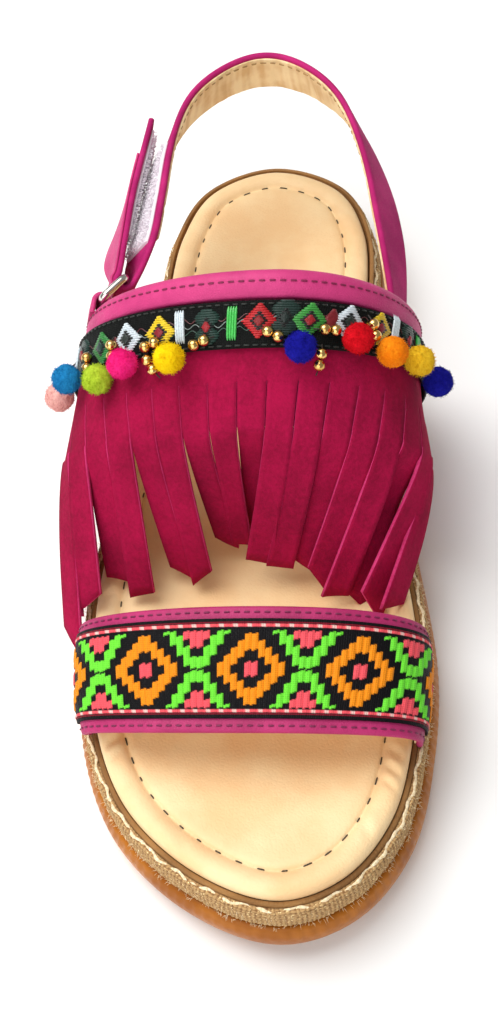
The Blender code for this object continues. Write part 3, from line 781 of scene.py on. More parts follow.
@dataclass(frozen=True)
class Cloth:
    """Woven or embroidered cloth that takes its colours from the dye on its points."""

    name: str
    pitch: float
    depth: float
    roughness: float
    # Share of painted shade between the threads
    shade: float = 0.4
    shine: float = 0.15

    def make(self) -> Material:
        """Dye with painted shade between its threads and random tone along them, threads in the normal,
        uneven gloss.

        Returns:
            The material.
        """
        graph = Coating(self.name)
        chart = graph.cloth_place()
        weave = graph.effect(Effects.weave(), Chart=chart, Pitch=self.pitch)
        slub = graph.noise(graph.stretched(chart, (1.0, 0.18, 1.0)), 2.2, 3.0)
        # Painted shade: the weave darkens the dye between the threads by up to the shade share, and slubs
        # vary it at random.
        lit = graph.weighed((weave.outputs["Height"], 0.65), (slub, 0.6))
        return graph.finished(
            Base_Color=graph.shaded_dye(graph.spread(lit, 0.1, 0.8, 1.0 - self.shade, 1.0)),
            Roughness=graph.spread(slub, 0.3, 0.7, self.roughness - 0.1, self.roughness + 0.1),
            Normal=graph.bump(lit, self.depth),
            Specular_IOR_Level=self.shine)


@dataclass(frozen=True)
class Yarn:
    """Sewing or embroidery thread in its own dye, with fine fibres."""

    name: str
    roughness: float
    sheen: float

    def make(self) -> Material:
        """Dye broken by fine fibre tone, fibre in the normal.

        Returns:
            The material.
        """
        graph = Coating(self.name)
        fibre = graph.noise(graph.solid_place(), 2600.0, 3.0)
        return graph.finished(
            Base_Color=graph.shaded_dye(graph.spread(fibre, 0.3, 0.7, 0.72, 1.0)),
            Roughness=graph.spread(fibre, 0.3, 0.7, self.roughness - 0.1, self.roughness + 0.1),
            Normal=graph.bump(fibre, 0.08),
            Sheen_Weight=self.sheen, Sheen_Roughness=0.4)


@dataclass(frozen=True)
class Hessian:
    """Coarse jute yarn with uneven fibres and a few glinting strands."""

    name: str
    bright: str
    deep: str
    glint: str
    pitch: float = 0.9

    def make(self) -> Material:
        """Fibre streaks along both yarns, painted shade between the yarns, and a sparse mask of metallic
        glints.

        Returns:
            The material.
        """
        graph = Coating(self.name)
        chart, place = graph.cloth_place(), graph.solid_place()
        streak = graph.noise(graph.stretched(chart, (0.5, 2.4, 1.0)), 1.3, 4.0, 0.7)
        fleck = graph.noise(place, 1500.0, 2.0)
        weave = graph.effect(Effects.weave(), Chart=chart, Pitch=self.pitch)
        # Painted shade: the weave's height darkens the straw between the yarns.
        tone = graph.weighed((streak, 0.45), (fleck, 0.3), (weave.outputs["Height"], 0.4))
        straw = graph.mix(graph.spread(tone, 0.3, 0.72), self.deep, self.bright)
        spark = graph.spread(graph.noise(place, 2100.0, 1.0), 0.62, 0.68)
        return graph.finished(
            Base_Color=graph.mix(spark, straw, self.glint),
            Metallic=graph.maths("MULTIPLY", spark, 0.7),
            Roughness=graph.spread(spark, 0.0, 1.0, 0.88, 0.35),
            Normal=graph.bump(tone, 0.25),
            Specular_IOR_Level=0.25)


@dataclass(frozen=True)
class Backdrop:
    """Pale, dull board with faint clouds."""

    name: str
    bright: str
    deep: str

    def make(self) -> Material:
        """Clouds in the colour alone.

        Returns:
            The material.
        """
        graph = Coating(self.name)
        tone = graph.spread(graph.noise(graph.solid_place(), 6.0, 3.0), 0.3, 0.7)
        return graph.finished(Base_Color=graph.mix(tone, self.bright, self.deep), Roughness=0.9,
                              Specular_IOR_Level=0.1)


class Finish(Enum):
    """Every finish on the sandal, and the floor's."""

    PINK = Leather("pink_leather_finish", "#CE3C7C", "#BA306E", 0.5, 0.55, 0.05, 0.03)
    # The heel strap's pink leather with painted shade: a deeper copy of the instep strap's leather, with a
    # lower shine.
    HEEL_PINK = Leather("heel_leather_painted_shade_finish", "#BE2C72", "#A62262", 0.62, 0.55, 0.05, shine=0.06)
    # The toe strap's pink leather with painted shade: a deeper copy of the instep strap's leather.
    TOE_PINK = Leather("toe_leather_painted_shade_finish", "#B82E6A", "#A4245C", 0.5, 0.55, 0.05, 0.03)
    CREAM = Leather("cream_insole_finish", "#F8DAA8", "#F1C892", 0.5, 0.9, 0.04, 0.05)
    LINING = Leather("lining_finish", "#F6DCAA", "#E8C690", 0.62, 0.5, 0.05)
    # The heel lining, with shade and light painted into its creases
    CREASED = Leather("lining_painted_crease_shade_finish", "#F8E0B0", "#E0BC86", 0.62, 0.5, 0.05, 0.0, 0.45)
    BOARD = Leather("board_finish", "#A67A48", "#7C5630", 0.8, 1.2, 0.12)
    SUEDE = Suede("fringe_suede_finish", "#A60C40", "#81072F")
    # The suede's cut edges, drawn lighter than its face: a painted highlight along the strips.
    CUT_EDGE = Suede("cut_edge_painted_highlight_finish", "#CA3C74", "#AE2254", 0.4, 0.6)
    # The deep tone is both the painted shade at the outsole's top and the colour of its streak stains.
    RUBBER = Rubber("gum_rubber_finish", "#DE8E34", "#9A5818", 8.0)
    JUTE = Hessian("hessian_finish", "#C09A68", "#6C4424", "#E6CC96")
    SELVEDGE = Hessian("selvedge_finish", "#FBEBC8", "#DDC290", "#FFF2D2")
    RIBBON = Cloth("ribbon_finish", 0.46, 0.12, 0.6)
    TAPE = Cloth("tape_finish", 0.42, 0.15, 0.7)
    PILE = Cloth("pile_finish", 0.5, 0.1, 0.85, 0.12)
    STITCH = Yarn("stitch_finish", 0.6, 0.1)
    SATIN = Yarn("satin_thread_finish", 0.38, 0.2)
    STEEL = Metal("ring_steel_finish", "#DEDBD5", "#C4C0B8", 0.14)
    GOLD = Metal("bead_gold_finish", "#EBC47A", "#C9944A", 0.2)
    FELT_PALE_PINK = Felt("felt_pale_pink", "#F3BFB4", "#E39F98")
    FELT_SKY_BLUE = Felt("felt_sky_blue", "#2487C0", "#0F639C")
    FELT_LIME = Felt("felt_lime", "#B9D23C", "#93B21E")
    FELT_HOT_PINK = Felt("felt_hot_pink", "#F52C86", "#DE1067")
    FELT_YELLOW = Felt("felt_yellow", "#FCDB10", "#EFBE04")
    FELT_ROYAL_BLUE = Felt("felt_royal_blue", "#1C1C9C", "#0B0B72")
    FELT_RED = Felt("felt_red", "#D81020", "#B00410")
    FELT_ORANGE = Felt("felt_orange", "#FB9A1A", "#F07C08")
    FELT_MUSTARD = Felt("felt_mustard", "#EBC22E", "#D9A416")
    FLOOR = Backdrop("floor_finish", "#FAFAF9", "#F6F6F5")

    def material(self) -> Material:
        """The finish's material, made at its first use."""
        return bpy.data.materials.get(self.value.name) or self.value.make()


# Frame and pieces

@dataclass
class Frame:
    """The shift from the sandal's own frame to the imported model's."""

    shift: Array

    def place(self, points: Array) -> Array:
        """Points in the sandal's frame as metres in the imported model's frame."""
        return (points + self.shift) * MM

    def piece(self, name: str, surface: Surface, finishes: Sequence[Finish], slot: Slot,
              replaces: Sequence[str] = (), crease: float = 50.0, shell: bool = True) -> bpy.types.Object:
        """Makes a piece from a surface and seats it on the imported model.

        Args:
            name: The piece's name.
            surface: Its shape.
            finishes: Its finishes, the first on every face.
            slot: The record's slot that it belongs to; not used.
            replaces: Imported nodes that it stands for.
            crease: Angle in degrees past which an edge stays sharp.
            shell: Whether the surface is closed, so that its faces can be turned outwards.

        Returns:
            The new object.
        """
        mesh = bpy.data.meshes.new(name)
        faces = [face for block in surface.faces for face in block.tolist()]
        mesh.from_pydata(self.place(surface.points).tolist(), [], faces)
        corners = np.empty(len(mesh.loops), int)
        mesh.loops.foreach_get("vertex_index", corners)
        if surface.chart is not None:
            chart = mesh.uv_layers.new(name="chart")
            chart.uv.foreach_set("vector", surface.chart[corners].astype(np.float32).ravel())
        if surface.dye is not None:
            dye = mesh.color_attributes.new("dye", "FLOAT_COLOR", "POINT")
            dye.data.foreach_set("color", surface.dye.astype(np.float32).ravel())
        work = bmesh.new()
        work.from_mesh(mesh)
        bmesh.ops.remove_doubles(work, verts=work.verts, dist=WELD)
        bmesh.ops.dissolve_degenerate(work, edges=work.edges, dist=WELD)
        if shell:
            bmesh.ops.recalc_face_normals(work, faces=work.faces)
        work.to_mesh(mesh)
        work.free()
        mesh.shade_smooth()
        mesh.set_sharp_from_angle(angle=math.radians(crease))
        for finish in finishes:
            mesh.materials.append(finish.material())
        made = bpy.data.objects.new(name, mesh)
        bpy.context.scene.collection.objects.link(made)
        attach(made, BODY)
        if replaces:
            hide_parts(*replaces)
        LOG.info("%s: %d faces", name, len(mesh.polygons))
        return made


def stitch_row(line: Array, up: Array, pitch: float, dash: float, radius: float, sink: float, dye: str,
               jitter: float = 0.0) -> Surface:
    """A row of stitches: short threads along a line that rise from a hole, lie flat and dive into the next.

    Args:
        line: Points along the seam, on the surface.
        up: Outward direction at each of them.
        pitch: Distance from stitch to stitch.
        dash: Length of the thread that shows.
        radius: Radius of the thread.
        sink: How deep the ends go.
        dye: The thread's colour.
        jitter: How far lengths vary, as a share.

    Returns:
        All the stitches as one surface.
    """
    lengths = run_lengths(line)
    count = max(int(lengths[-1] / pitch), 1)
    rng = np.random.default_rng(count)
    half = dash / 2 * (1.0 + jitter * rng.uniform(-1.0, 1.0, (count, 1)))
    share = np.linspace(-1.0, 1.0, 9)[None, :]
    at = (np.arange(count)[:, None] + 0.5) * lengths[-1] / count + share * half
    seat = np.stack([np.interp(at, lengths, column) for column in line.T], axis=-1)
    lift = unit(np.stack([np.interp(at, lengths, column) for column in up.T], axis=-1))
    height = radius * 0.55 - sink * share ** 6
    threads = seat + lift * height[..., None]
    radii = radius * np.sqrt(np.clip(1.0 - np.abs(share) ** 8, 0.0, 1.0))
    return tubes(threads, radii, lift, 6, dyed(dye, count))


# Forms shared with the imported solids

@dataclass(frozen=True)
class SoleForm:
    """The sole's outline and levels."""

    length: float = 200.0
    outline: Rows = (
        (200.0, -0.5), (193.0, -16.5), (178.0, -23.6), (155.0, -26.4), (120.0, -30.8), (88.0, -35.2),
        (65.0, -36.8), (40.0, -34.4), (20.3, -25.9), (5.5, -9.6), (0.0, 6.7), (5.1, 19.7), (18.8, 29.7),
        (40.0, 34.4), (60.0, 35.3), (88.0, 31.3), (120.0, 25.4), (150.0, 23.8), (178.0, 23.2), (193.0, 16.3))
    toe_row: int = 10
    spring: float = 4.0
    spring_length: float = 48.0
    arch_relief: float = 1.2
    arch_front: float = 88.0
    arch_back: float = 140.0
    midsole_base: float = 8.3
    midsole_top: float = 15.3
    insole_top: float = 19.2
    strap_gap: float = 0.4

    def edge(self, half: int) -> Array:
        """The insole's edge from the heel along the lateral side to the toe and back.

        Args:
            half: Steps along each side.

        Returns:
            Twice as many points.
        """
        dense = 64
        rows = [(across, along - self.length / 2) for along, across in self.outline]
        curve = smooth_through(np.array(rows), True, dense)
        toe = self.toe_row * dense
        lateral = evenly(curve[:toe + 1], half)
        medial = evenly(np.vstack([curve[toe:], curve[:1]]), half)
        return np.vstack([lateral[:-1], medial[:-1]])

    def rim(self, half: int) -> tuple[Array, Array]:
        """The edge as a closed line, with the level directions square to it.

        Args:
            half: Steps along each side.

        Returns:
            Points and outward directions, the last of each equal to the first.
        """
        edge = self.edge(half)
        run = unit(np.roll(edge, -1, axis=0) - np.roll(edge, 1, axis=0))
        out = np.column_stack([-run[:, 1], run[:, 0]])
        out = out if np.sum(out * edge) > 0 else -out
        return np.vstack([edge, edge[:1]]), np.vstack([out, out[:1]])

    def rise(self, y: Array) -> Array:
        """How far the sprung toe has left the floor: the square of the distance past where it starts."""
        along = y + self.length / 2
        return self.spring * np.clip((self.spring_length - along) / self.spring_length, 0.0, None) ** 2

    def arch(self, y: Array) -> Array:
        """The hollow under the waist: a squared sine from its front to its back."""
        share = (y + self.length / 2 - self.arch_front) / (self.arch_back - self.arch_front)
        return self.arch_relief * np.sin(math.pi * np.clip(share, 0.0, 1.0)) ** 2

    def loops(self, half: int, distance: Array, height: Array, lift: Array | float = 0.0) -> Array:
        """Loops round the sole, each the edge moved out and raised.

        Args:
            half: Steps along each side.
            distance: How far each loop stands out from the insole.
            height: How high each one is.
            lift: How much of the waist's hollow each one follows.

        Returns:
            Points by loop and step, the last of each loop equal to its first.
        """
        edge, out = self.rim(half)
        moved = edge[None] + out[None] * np.asarray(distance, float)[:, None, None]
        y = moved[..., 1]
        follow = np.broadcast_to(np.asarray(lift, float), (len(moved),))[:, None]
        z = np.asarray(height, float)[:, None] + self.rise(y) + follow * self.arch(y)
        return np.concatenate([moved, z[..., None]], axis=-1)

    @staticmethod
    def rungs(loop: Array, steps: int) -> Array:
        """A face across a loop: straight rungs from each lateral point to the medial one opposite.

        Args:
            loop: A closed loop, the last point equal to the first.
            steps: Steps along each rung.

        Returns:
            Points by rung and step.
        """
        half = (len(loop) - 1) // 2
        lateral, medial = loop[:half + 1], loop[half:][::-1]
        share = np.linspace(0.0, 1.0, steps + 1)[None, :, None]
        return lateral[:, None] + (medial - lateral)[:, None] * share


@dataclass(frozen=True)
class StrapEdge:
    """One edge of a strap: a superellipse over the belly and arcs that tuck in to the feet."""

    crown_along: float
    crown_height: float
    crown_across: float
    lateral_along: float
    medial_along: float
    lateral_bulge: float
    medial_bulge: float
    belly_height: float
    lateral_squareness: float
    medial_squareness: float

    def mixed(self, other: "StrapEdge", share: float) -> "StrapEdge":
        """The edge part of the way to another."""
        return StrapEdge(*[a + (b - a) * share for a, b in zip(vars(self).values(), vars(other).values())])


class StrapForm:
    """A strap's inner face as a table over place and drop, with its outward directions."""

    SAMPLES = 161
    TUCK = math.radians(60.0)
    FOOT_RAISE = 0.3

    def __init__(self, sole: SoleForm, back: StrapEdge, front: StrapEdge) -> None:
        """Works out the table.

        Args:
            sole: The sole that the strap stands on.
            back: The strap's back edge.
            front: Its front edge.
        """
        self.sole = sole
        self.foot = sole.midsole_top + self.FOOT_RAISE - sole.insole_top
        self.edge = sole.edge(150)
        crowns = back.crown_along - front.crown_along, back.crown_height - front.crown_height
        self.width = math.hypot(*crowns)
        self.shares = np.linspace(-0.35, 1.35, 103)
        self.table = np.stack([self._arch(back.mixed(front, share)) for share in self.shares])
        forward = np.gradient(self.table, axis=0)
        round_foot = np.gradient(self.table, axis=1)
        out = np.cross(forward, round_foot)
        out[..., 2] = np.maximum(out[..., 2], 0.0)
        self.out = unit(out)
        self.length = float(run_lengths(self.at(np.linspace(0, 1, 300), self.width / 2))[-1])

    def _arch(self, edge: StrapEdge) -> Array:
        """The inner line of one edge.

        Args:
            edge: The edge's sizes.

        Returns:
            Points from the lateral foot over the crown to the medial foot.
        """
        half, count = self.sole.length / 2, len(self.edge) // 2
        lateral_side = self.edge[:count + 1][::-1]
        medial_side = np.vstack([self.edge[count:], self.edge[:1]])
        lateral_foot = np.interp(edge.lateral_along - half, lateral_side[:, 1], lateral_side[:, 0])
        lateral_foot -= self.sole.strap_gap
        medial_foot = np.interp(edge.medial_along - half, medial_side[:, 1], medial_side[:, 0])
        medial_foot += self.sole.strap_gap
        tuck = np.linspace(self.TUCK, 0.0, 24, endpoint=False)
        inward = (1 - np.cos(tuck)) / (1 - math.cos(self.TUCK))
        drop = edge.belly_height - (edge.belly_height - self.foot) * np.sin(tuck) / math.sin(self.TUCK)
        swing = np.linspace(0.0, math.pi, 121)
        square = np.where(swing < math.pi / 2, edge.lateral_squareness, edge.medial_squareness)
        reach = np.sign(np.cos(swing)) * np.abs(np.cos(swing)) ** square
        lateral_belly = lateral_foot - edge.lateral_bulge
        medial_belly = medial_foot + edge.medial_bulge
        span = np.where(reach > 0, edge.crown_across - lateral_belly, medial_belly - edge.crown_across)
        lateral_tuck = lateral_belly + edge.lateral_bulge * inward
        medial_tuck = medial_belly - edge.medial_bulge * inward
        across = np.concatenate([lateral_tuck, edge.crown_across - span * reach, medial_tuck[::-1]])
        rise = edge.belly_height + (edge.crown_height - edge.belly_height) * np.abs(np.sin(swing)) ** square
        height = np.concatenate([drop, rise, drop[::-1]])
        fallen = (edge.crown_height - height) / (edge.crown_height - self.foot)
        foot_along = np.where(across < edge.crown_across, edge.lateral_along, edge.medial_along)
        y = edge.crown_along + (foot_along - edge.crown_along) * fallen - half
        z = self.sole.insole_top + height + self.sole.rise(y)
        return evenly(np.column_stack([across, y, z]), self.SAMPLES - 1)

    def _read(self, table: Array, place: Array, drop: Array) -> Array:
        """A table read between its samples, linearly both ways.

        Args:
            table: Values by drop and place.
            place: Places round the foot.
            drop: Distances from the back edge.

        Returns:
            The values there.
        """
        column = np.clip(place, 0.0, 1.0) * (self.SAMPLES - 1)
        row = (drop / self.width - self.shares[0]) / (self.shares[1] - self.shares[0])
        c = np.clip(column.astype(int), 0, self.SAMPLES - 2)
        r = np.clip(row.astype(int), 0, len(self.shares) - 2)
        u, v = (column - c)[..., None], (row - r)[..., None]
        near = table[r, c] * (1 - u) + table[r, c + 1] * u
        return near * (1 - v) + (table[r + 1, c] * (1 - u) + table[r + 1, c + 1] * u) * v

    def at(self, place: Array, drop: Array, offset: Array | float = 0.0) -> Array:
        """Points by place round the foot, drop from the back edge and offset out from the inner face."""
        place, drop, offset = np.broadcast_arrays(*(np.asarray(x, float) for x in (place, drop, offset)))
        return self._read(self.table, place, drop) + self.outward(place, drop) * offset[..., None]

    def outward(self, place: Array, drop: Array) -> Array:
        """Outward directions at places and drops."""
        place, drop = np.broadcast_arrays(np.asarray(place, float), np.asarray(drop, float))
        return unit(self._read(self.out, place, drop))

    def strip(self, places: Array, loop: tuple[Array, Array], dye: str | None = None) -> Surface:
        """A band round the strap with the given section.

        Args:
            places: Places of its stations.
            loop: Drops and offsets round its section.
            dye: A colour for the whole band.

        Returns:
            A closed surface charted by length and drop.
        """
        drop, offset = loop
        points = self.at(places[:, None], drop[None], offset[None])
        dyes = None if dye is None else dyed(dye, *points.shape[:2])
        return swept(points, charted(places * self.length, drop), dyes)

    def seam(self, start: float, end: float, drop: float, offset: float) -> tuple[Array, Array]:
        """A line round the strap and its outward directions, for stitches."""
        places = np.linspace(start, end, 400)
        return self.at(places, drop, offset), self.outward(places, np.full_like(places, drop))


# The sole

@dataclass
class Sole:
    """Gum outsole, board, jute band and padded insole."""

    frame: Frame
    form: SoleForm = field(default_factory=SoleForm)
    tread_pitch: float = 5.6
    tread_depth: float = 0.9
    tread_sway: float = 1.8
    tread_wave: float = 15.0
    rib_pitch: float = 2.2
    rib_depth: float = 0.12
    rand_rise: float = 1.9
    rand_flare: float = 0.5
    yarn_pitch: float = 0.9
    yarn_height: float = 0.34
    yarn_wander: float = 0.16
    cord_stand: float = 1.85
    cord_radius: float = 0.34
    loose_fibres: int = 2400
    fibre_radius: float = 0.05
    crease_scale: float = 2.4
    crease_slant: float = 0.45
    channel: float = 5.7
    stitch_pitch: float = 4.9
    stitch_dash: float = 1.75
    stitch_level: float = 18.38

    def build(self) -> None:
        """Makes every layer, from the floor up."""
        self.outsole()
        self.board()
        self.jute_band()
        self.insole()

    def outsole(self) -> None:
        """Outsole: a rounded profile carried round the edge, ribs at the toe, wavy grooves underneath."""
        form, half = self.form, 440
        # Distance out, height and share of the waist's hollow
        rows = np.array([
            (2.9, 0.0, 1.0), (3.45, 0.12, 0.97), (4.1, 0.8, 0.75), (4.45, 1.8, 0.45), (4.6, 3.5, 0.0),
            (4.5, 5.0, 0.0), (4.1, 6.3, 0.0), (3.6, 7.4, 0.0), (3.0, 7.95, 0.0), (2.2, 8.0, 0.0)])
        profile = smooth_through(rows, False, 4)
        loops = form.loops(half, profile[:, 0], np.maximum(profile[:, 1], 0.0), profile[:, 2])
        edge, out = form.rim(half)
        around = run_lengths(edge)
        ribs = np.cos(TAU * around / around[-1] * round(around[-1] / self.rib_pitch))
        toe = 1.0 - step_up(edge[:, 1], -60.0, -20.0)
        shown = step_up(profile[:, 1], 3.6, 4.6) * (1.0 - step_up(profile[:, 1], 7.2, 7.8))
        loops[..., :2] += (self.rib_depth * shown[:, None] * (toe * ribs)[None])[..., None] * out[None]
        under = form.rungs(loops[0], 44)
        reach = np.linalg.norm(under[:, -1] - under[:, 0], axis=-1)[:, None]
        side = np.linspace(0.0, 1.0, under.shape[1])[None]
        from_edge = np.minimum(np.minimum(side, 1.0 - side) * reach, reach / 2 - 2.0)
        wave = under[..., 1] + self.tread_sway * np.sin(TAU * under[..., 0] / self.tread_wave)
        groove = step_up(np.cos(TAU * wave / self.tread_pitch), 0.45, 0.8)
        along = under[..., 1] + form.length / 2
        flats = 1.0 - step_up(along, 82.0, 90.0) * (1.0 - step_up(along, 138.0, 146.0))
        under[..., 2] += self.tread_depth * groove * step_up(from_edge, 4.0, 6.0) * flats
        top = form.rungs(loops[-1], 6)
        self.frame.piece("gum_outsole", layer(loops, under, top), [Finish.RUBBER], Slot.RUBBER, ["outsole"])

    def board(self) -> None:
        """Board under the insole: a straight side and a low rand that stands higher round the heel."""
        form, half = self.form, 200
        # Distance out, height and share of the heel's rand
        rows = np.array([
            (0.2, 8.3, 0.0), (1.15, 8.5, 0.0), (1.2, 15.0, 0.0), (1.25, 15.5, 0.6), (1.05, 16.0, 1.0),
            (0.7, 16.2, 1.0), (0.2, 16.15, 1.0), (0.1, 15.4, 0.0), (-1.5, 15.3, 0.0)])
        loops = form.loops(half, rows[:, 0], rows[:, 1])
        heel = rows[:, 2:] * step_up(loops[..., 1] + form.length / 2, 130.0, 185.0)
        loops[..., 2] += self.rand_rise * heel
        loops[..., :2] += self.rand_flare * heel[..., None] * form.rim(half)[1][None]
        surface = layer(loops, form.rungs(loops[0], 6), form.rungs(loops[-1], 6))
        self.frame.piece("midsole_board", surface, [Finish.BOARD], Slot.BOARD, ["midsole"])

    def jute_band(self) -> None:
        """Jute band: a closed section carried round the edge, its outer face raised by a plain weave."""
        form, half = self.form, 900
        low, high = form.midsole_base, form.midsole_top
        rows = np.array([(1.3, low), (2.4, low), (2.75, low + 1.6), (2.8, low + 3.8), (2.7, high - 1.2),
                         (2.3, high), (1.3, high)])
        section = np.vstack([evenly(smooth_through(rows, False, 8), 34), rows[:1]])
        loops = form.loops(half, section[:, 0], section[:, 1])
        edge, out = form.rim(half)
        along = run_lengths(edge)
        yarns = round(along[-1] / self.yarn_pitch / 2) * 2
        along = (along * yarns / along[-1])[None] + self.yarn_wander * plane_waves(loops, 3, 10, 5.0)
        across = (run_lengths(section) / self.yarn_pitch)[:, None]
        across = across + self.yarn_wander * plane_waves(loops, 4, 10, 7.0)
        warp, weft = np.cos(math.pi * along), np.cos(math.pi * across)
        over = 0.5 + 0.5 * warp * weft
        relief = np.maximum(np.abs(warp) * over, np.abs(weft) * (1.0 - over))
        relief = relief * (0.8 + 0.3 * plane_waves(loops, 5, 8, 9.0)) + 0.22 * plane_waves(loops, 6, 14, 1.1)
        shown = step_up(section[:, 0], 1.6, 2.3)[:, None]
        loops[..., :2] += out[None] * (shown * relief * self.yarn_height)[..., None]
        loops[:, -1] = loops[:, 0]
        chart = np.stack([along, across], axis=-1) * self.yarn_pitch
        band = self.frame.piece("jute_band_cloth", grid_surface(loops, chart), [Finish.JUTE], Slot.JUTE,
                                ["jute_band"], 80.0)
        self.selvedge(edge, out)

    def selvedge(self, edge: Array, out: Array) -> None:
        """Pale cord along the band's top edge: a tube on a line that wanders by sines, and loose fibres.

        Args:
            edge: The insole's closed edge.
            out: Its outward directions.
        """
        lengths = run_lengths(edge)
        share = lengths / lengths[-1] * TAU
        stand = self.cord_stand + 0.28 * np.sin(56 * share) + 0.12 * np.sin(127 * share + 1.0)
        rise = self.form.midsole_top + 0.1 + 0.18 * np.sin(74 * share + 0.5) + 0.1 * np.sin(118 * share)
        line = np.column_stack([edge + out * stand[:, None], rise + self.form.rise(edge[:, 1])])
        radii = self.cord_radius * (1.0 + 0.18 * np.sin(190 * share))
        cord = tubes(line[None], radii[None], UP, 8)
        cord.chart = charted(lengths, np.linspace(0.0, 2.6, 9)).reshape(-1, 2)
        cord.points[-9:] = cord.points[:9]
        rng = np.random.default_rng(21)
        count = self.loose_fibres
        ahead = np.flatnonzero(edge[:-1, 1] < 45.0)
        pick = ahead[rng.integers(0, len(ahead), count)]
        below = np.clip(rng.uniform(-0.5, 1.6, (count, 1)), 0.0, 1.0)
        sideways = out[pick] * rng.uniform(0.1, 1.0, (count, 1))
        upward = rng.uniform(-0.6, 1.0, count)
        lean = unit(np.column_stack([sideways, upward]) + rng.normal(0.0, 0.5, (count, 3)))
        reach = np.linspace(0.0, 1.0, 3)[None, :, None] * rng.uniform(0.4, 1.3, (count, 1, 1))
        sag = -0.35 * UP * reach ** 2
        down = np.column_stack([out[pick] * 1.1 * np.minimum(below * 4.0, 1.0), -6.6 * below])
        hairs = (line[pick] + down)[:, None] + lean[:, None] * reach + sag
        fibre = tubes(hairs, self.fibre_radius * np.array([[1.0, 0.84, 0.0]]), SKEW, 3)
        fibre.chart = fibre.points[:, :2].copy()
        surface = Surface.joined([cord, fibre])
        self.frame.piece("jute_selvedge", surface, [Finish.SELVEDGE], Slot.JUTE, (), 80.0)

    def insole(self) -> None:
        """Insole: a domed rim, a pressed stitching channel and a dished bed, creased beside the straps."""
        form, half = self.form, 360
        # Distance out and height
        rows = np.array([
            (-0.6, 15.6), (-0.1, 15.9), (0.0, 16.7), (-0.05, 17.5), (-0.35, 18.35), (-1.0, 19.0),
            (-2.0, 19.38), (-3.1, 19.46), (-4.1, 19.28), (-4.9, 18.88), (-self.channel, 18.3),
            (-6.3, 18.72), (-7.1, 18.98), (-8.4, 19.06), (-10.5, 19.05)])
        profile = smooth_through(rows, False, 3)
        loops = form.loops(half, profile[:, 0], profile[:, 1])
        edge, _ = form.rim(half)
        lateral = edge[:, 0] < 0
        # Place along the foot, whether on the lateral side, depth and spread
        creases = (
            (33.5, True, 0.30, 0.9), (30.0, True, 0.18, 0.7), (46.0, True, 0.2, 1.0),
            (27.0, False, 0.32, 0.8), (23.5, False, 0.2, 0.7), (31.0, False, 0.16, 0.9),
            (12.0, False, 0.12, 1.2), (8.0, True, 0.12, 1.4), (74.0, False, 0.22, 1.0),
            (79.0, False, 0.14, 0.8), (70.5, True, 0.2, 1.0), (150.0, True, 0.12, 1.5),
            (166.0, False, 0.14, 1.4), (184.0, False, 0.1, 1.2))
        rim = bell(profile[:, 0], -2.7, 2.0)[:, None]
        run = (edge[:, 1] + form.length / 2)[None] + profile[:, :1] * self.crease_slant
        for at, side, depth, spread in creases:
            fold = bell(run, at, spread) - 0.5 * bell(run, at + 2.2 * spread, spread)
            loops[..., 2] -= self.crease_scale * depth * rim * fold * (lateral == side)[None]
        loops[..., 2] += 0.1 * plane_waves(loops, 9, 10, 22.0) * rim
        bed = form.rungs(loops[-1], 40)
        lengthwise, sideways = (step_up(np.sin(math.pi * np.linspace(0.0, 1.0, count)), 0.0, high)
                                for count, high in zip(bed.shape, (0.35, 0.7)))
        inside = sideways[None] * lengthwise[:, None]
        bed[..., 2] += inside * (0.16 * plane_waves(bed, 12, 10, 34.0) - 0.12)
        surface = layer(loops, bed, form.rungs(loops[0], 6))
        pad = self.frame.piece("padded_insole", surface, [Finish.CREAM], Slot.CREAM, ["insole"], 70.0)
        seam = form.loops(600, np.array([-self.channel]), np.array([self.stitch_level]))[0]
        up = np.broadcast_to(UP, seam.shape)
        stitches = stitch_row(seam, up, self.stitch_pitch, self.stitch_dash, 0.16, 0.28, "#43331A", 0.3)
        self.frame.piece("insole_stitches", stitches, [Finish.STITCH], Slot.CREAM)


# The toe strap

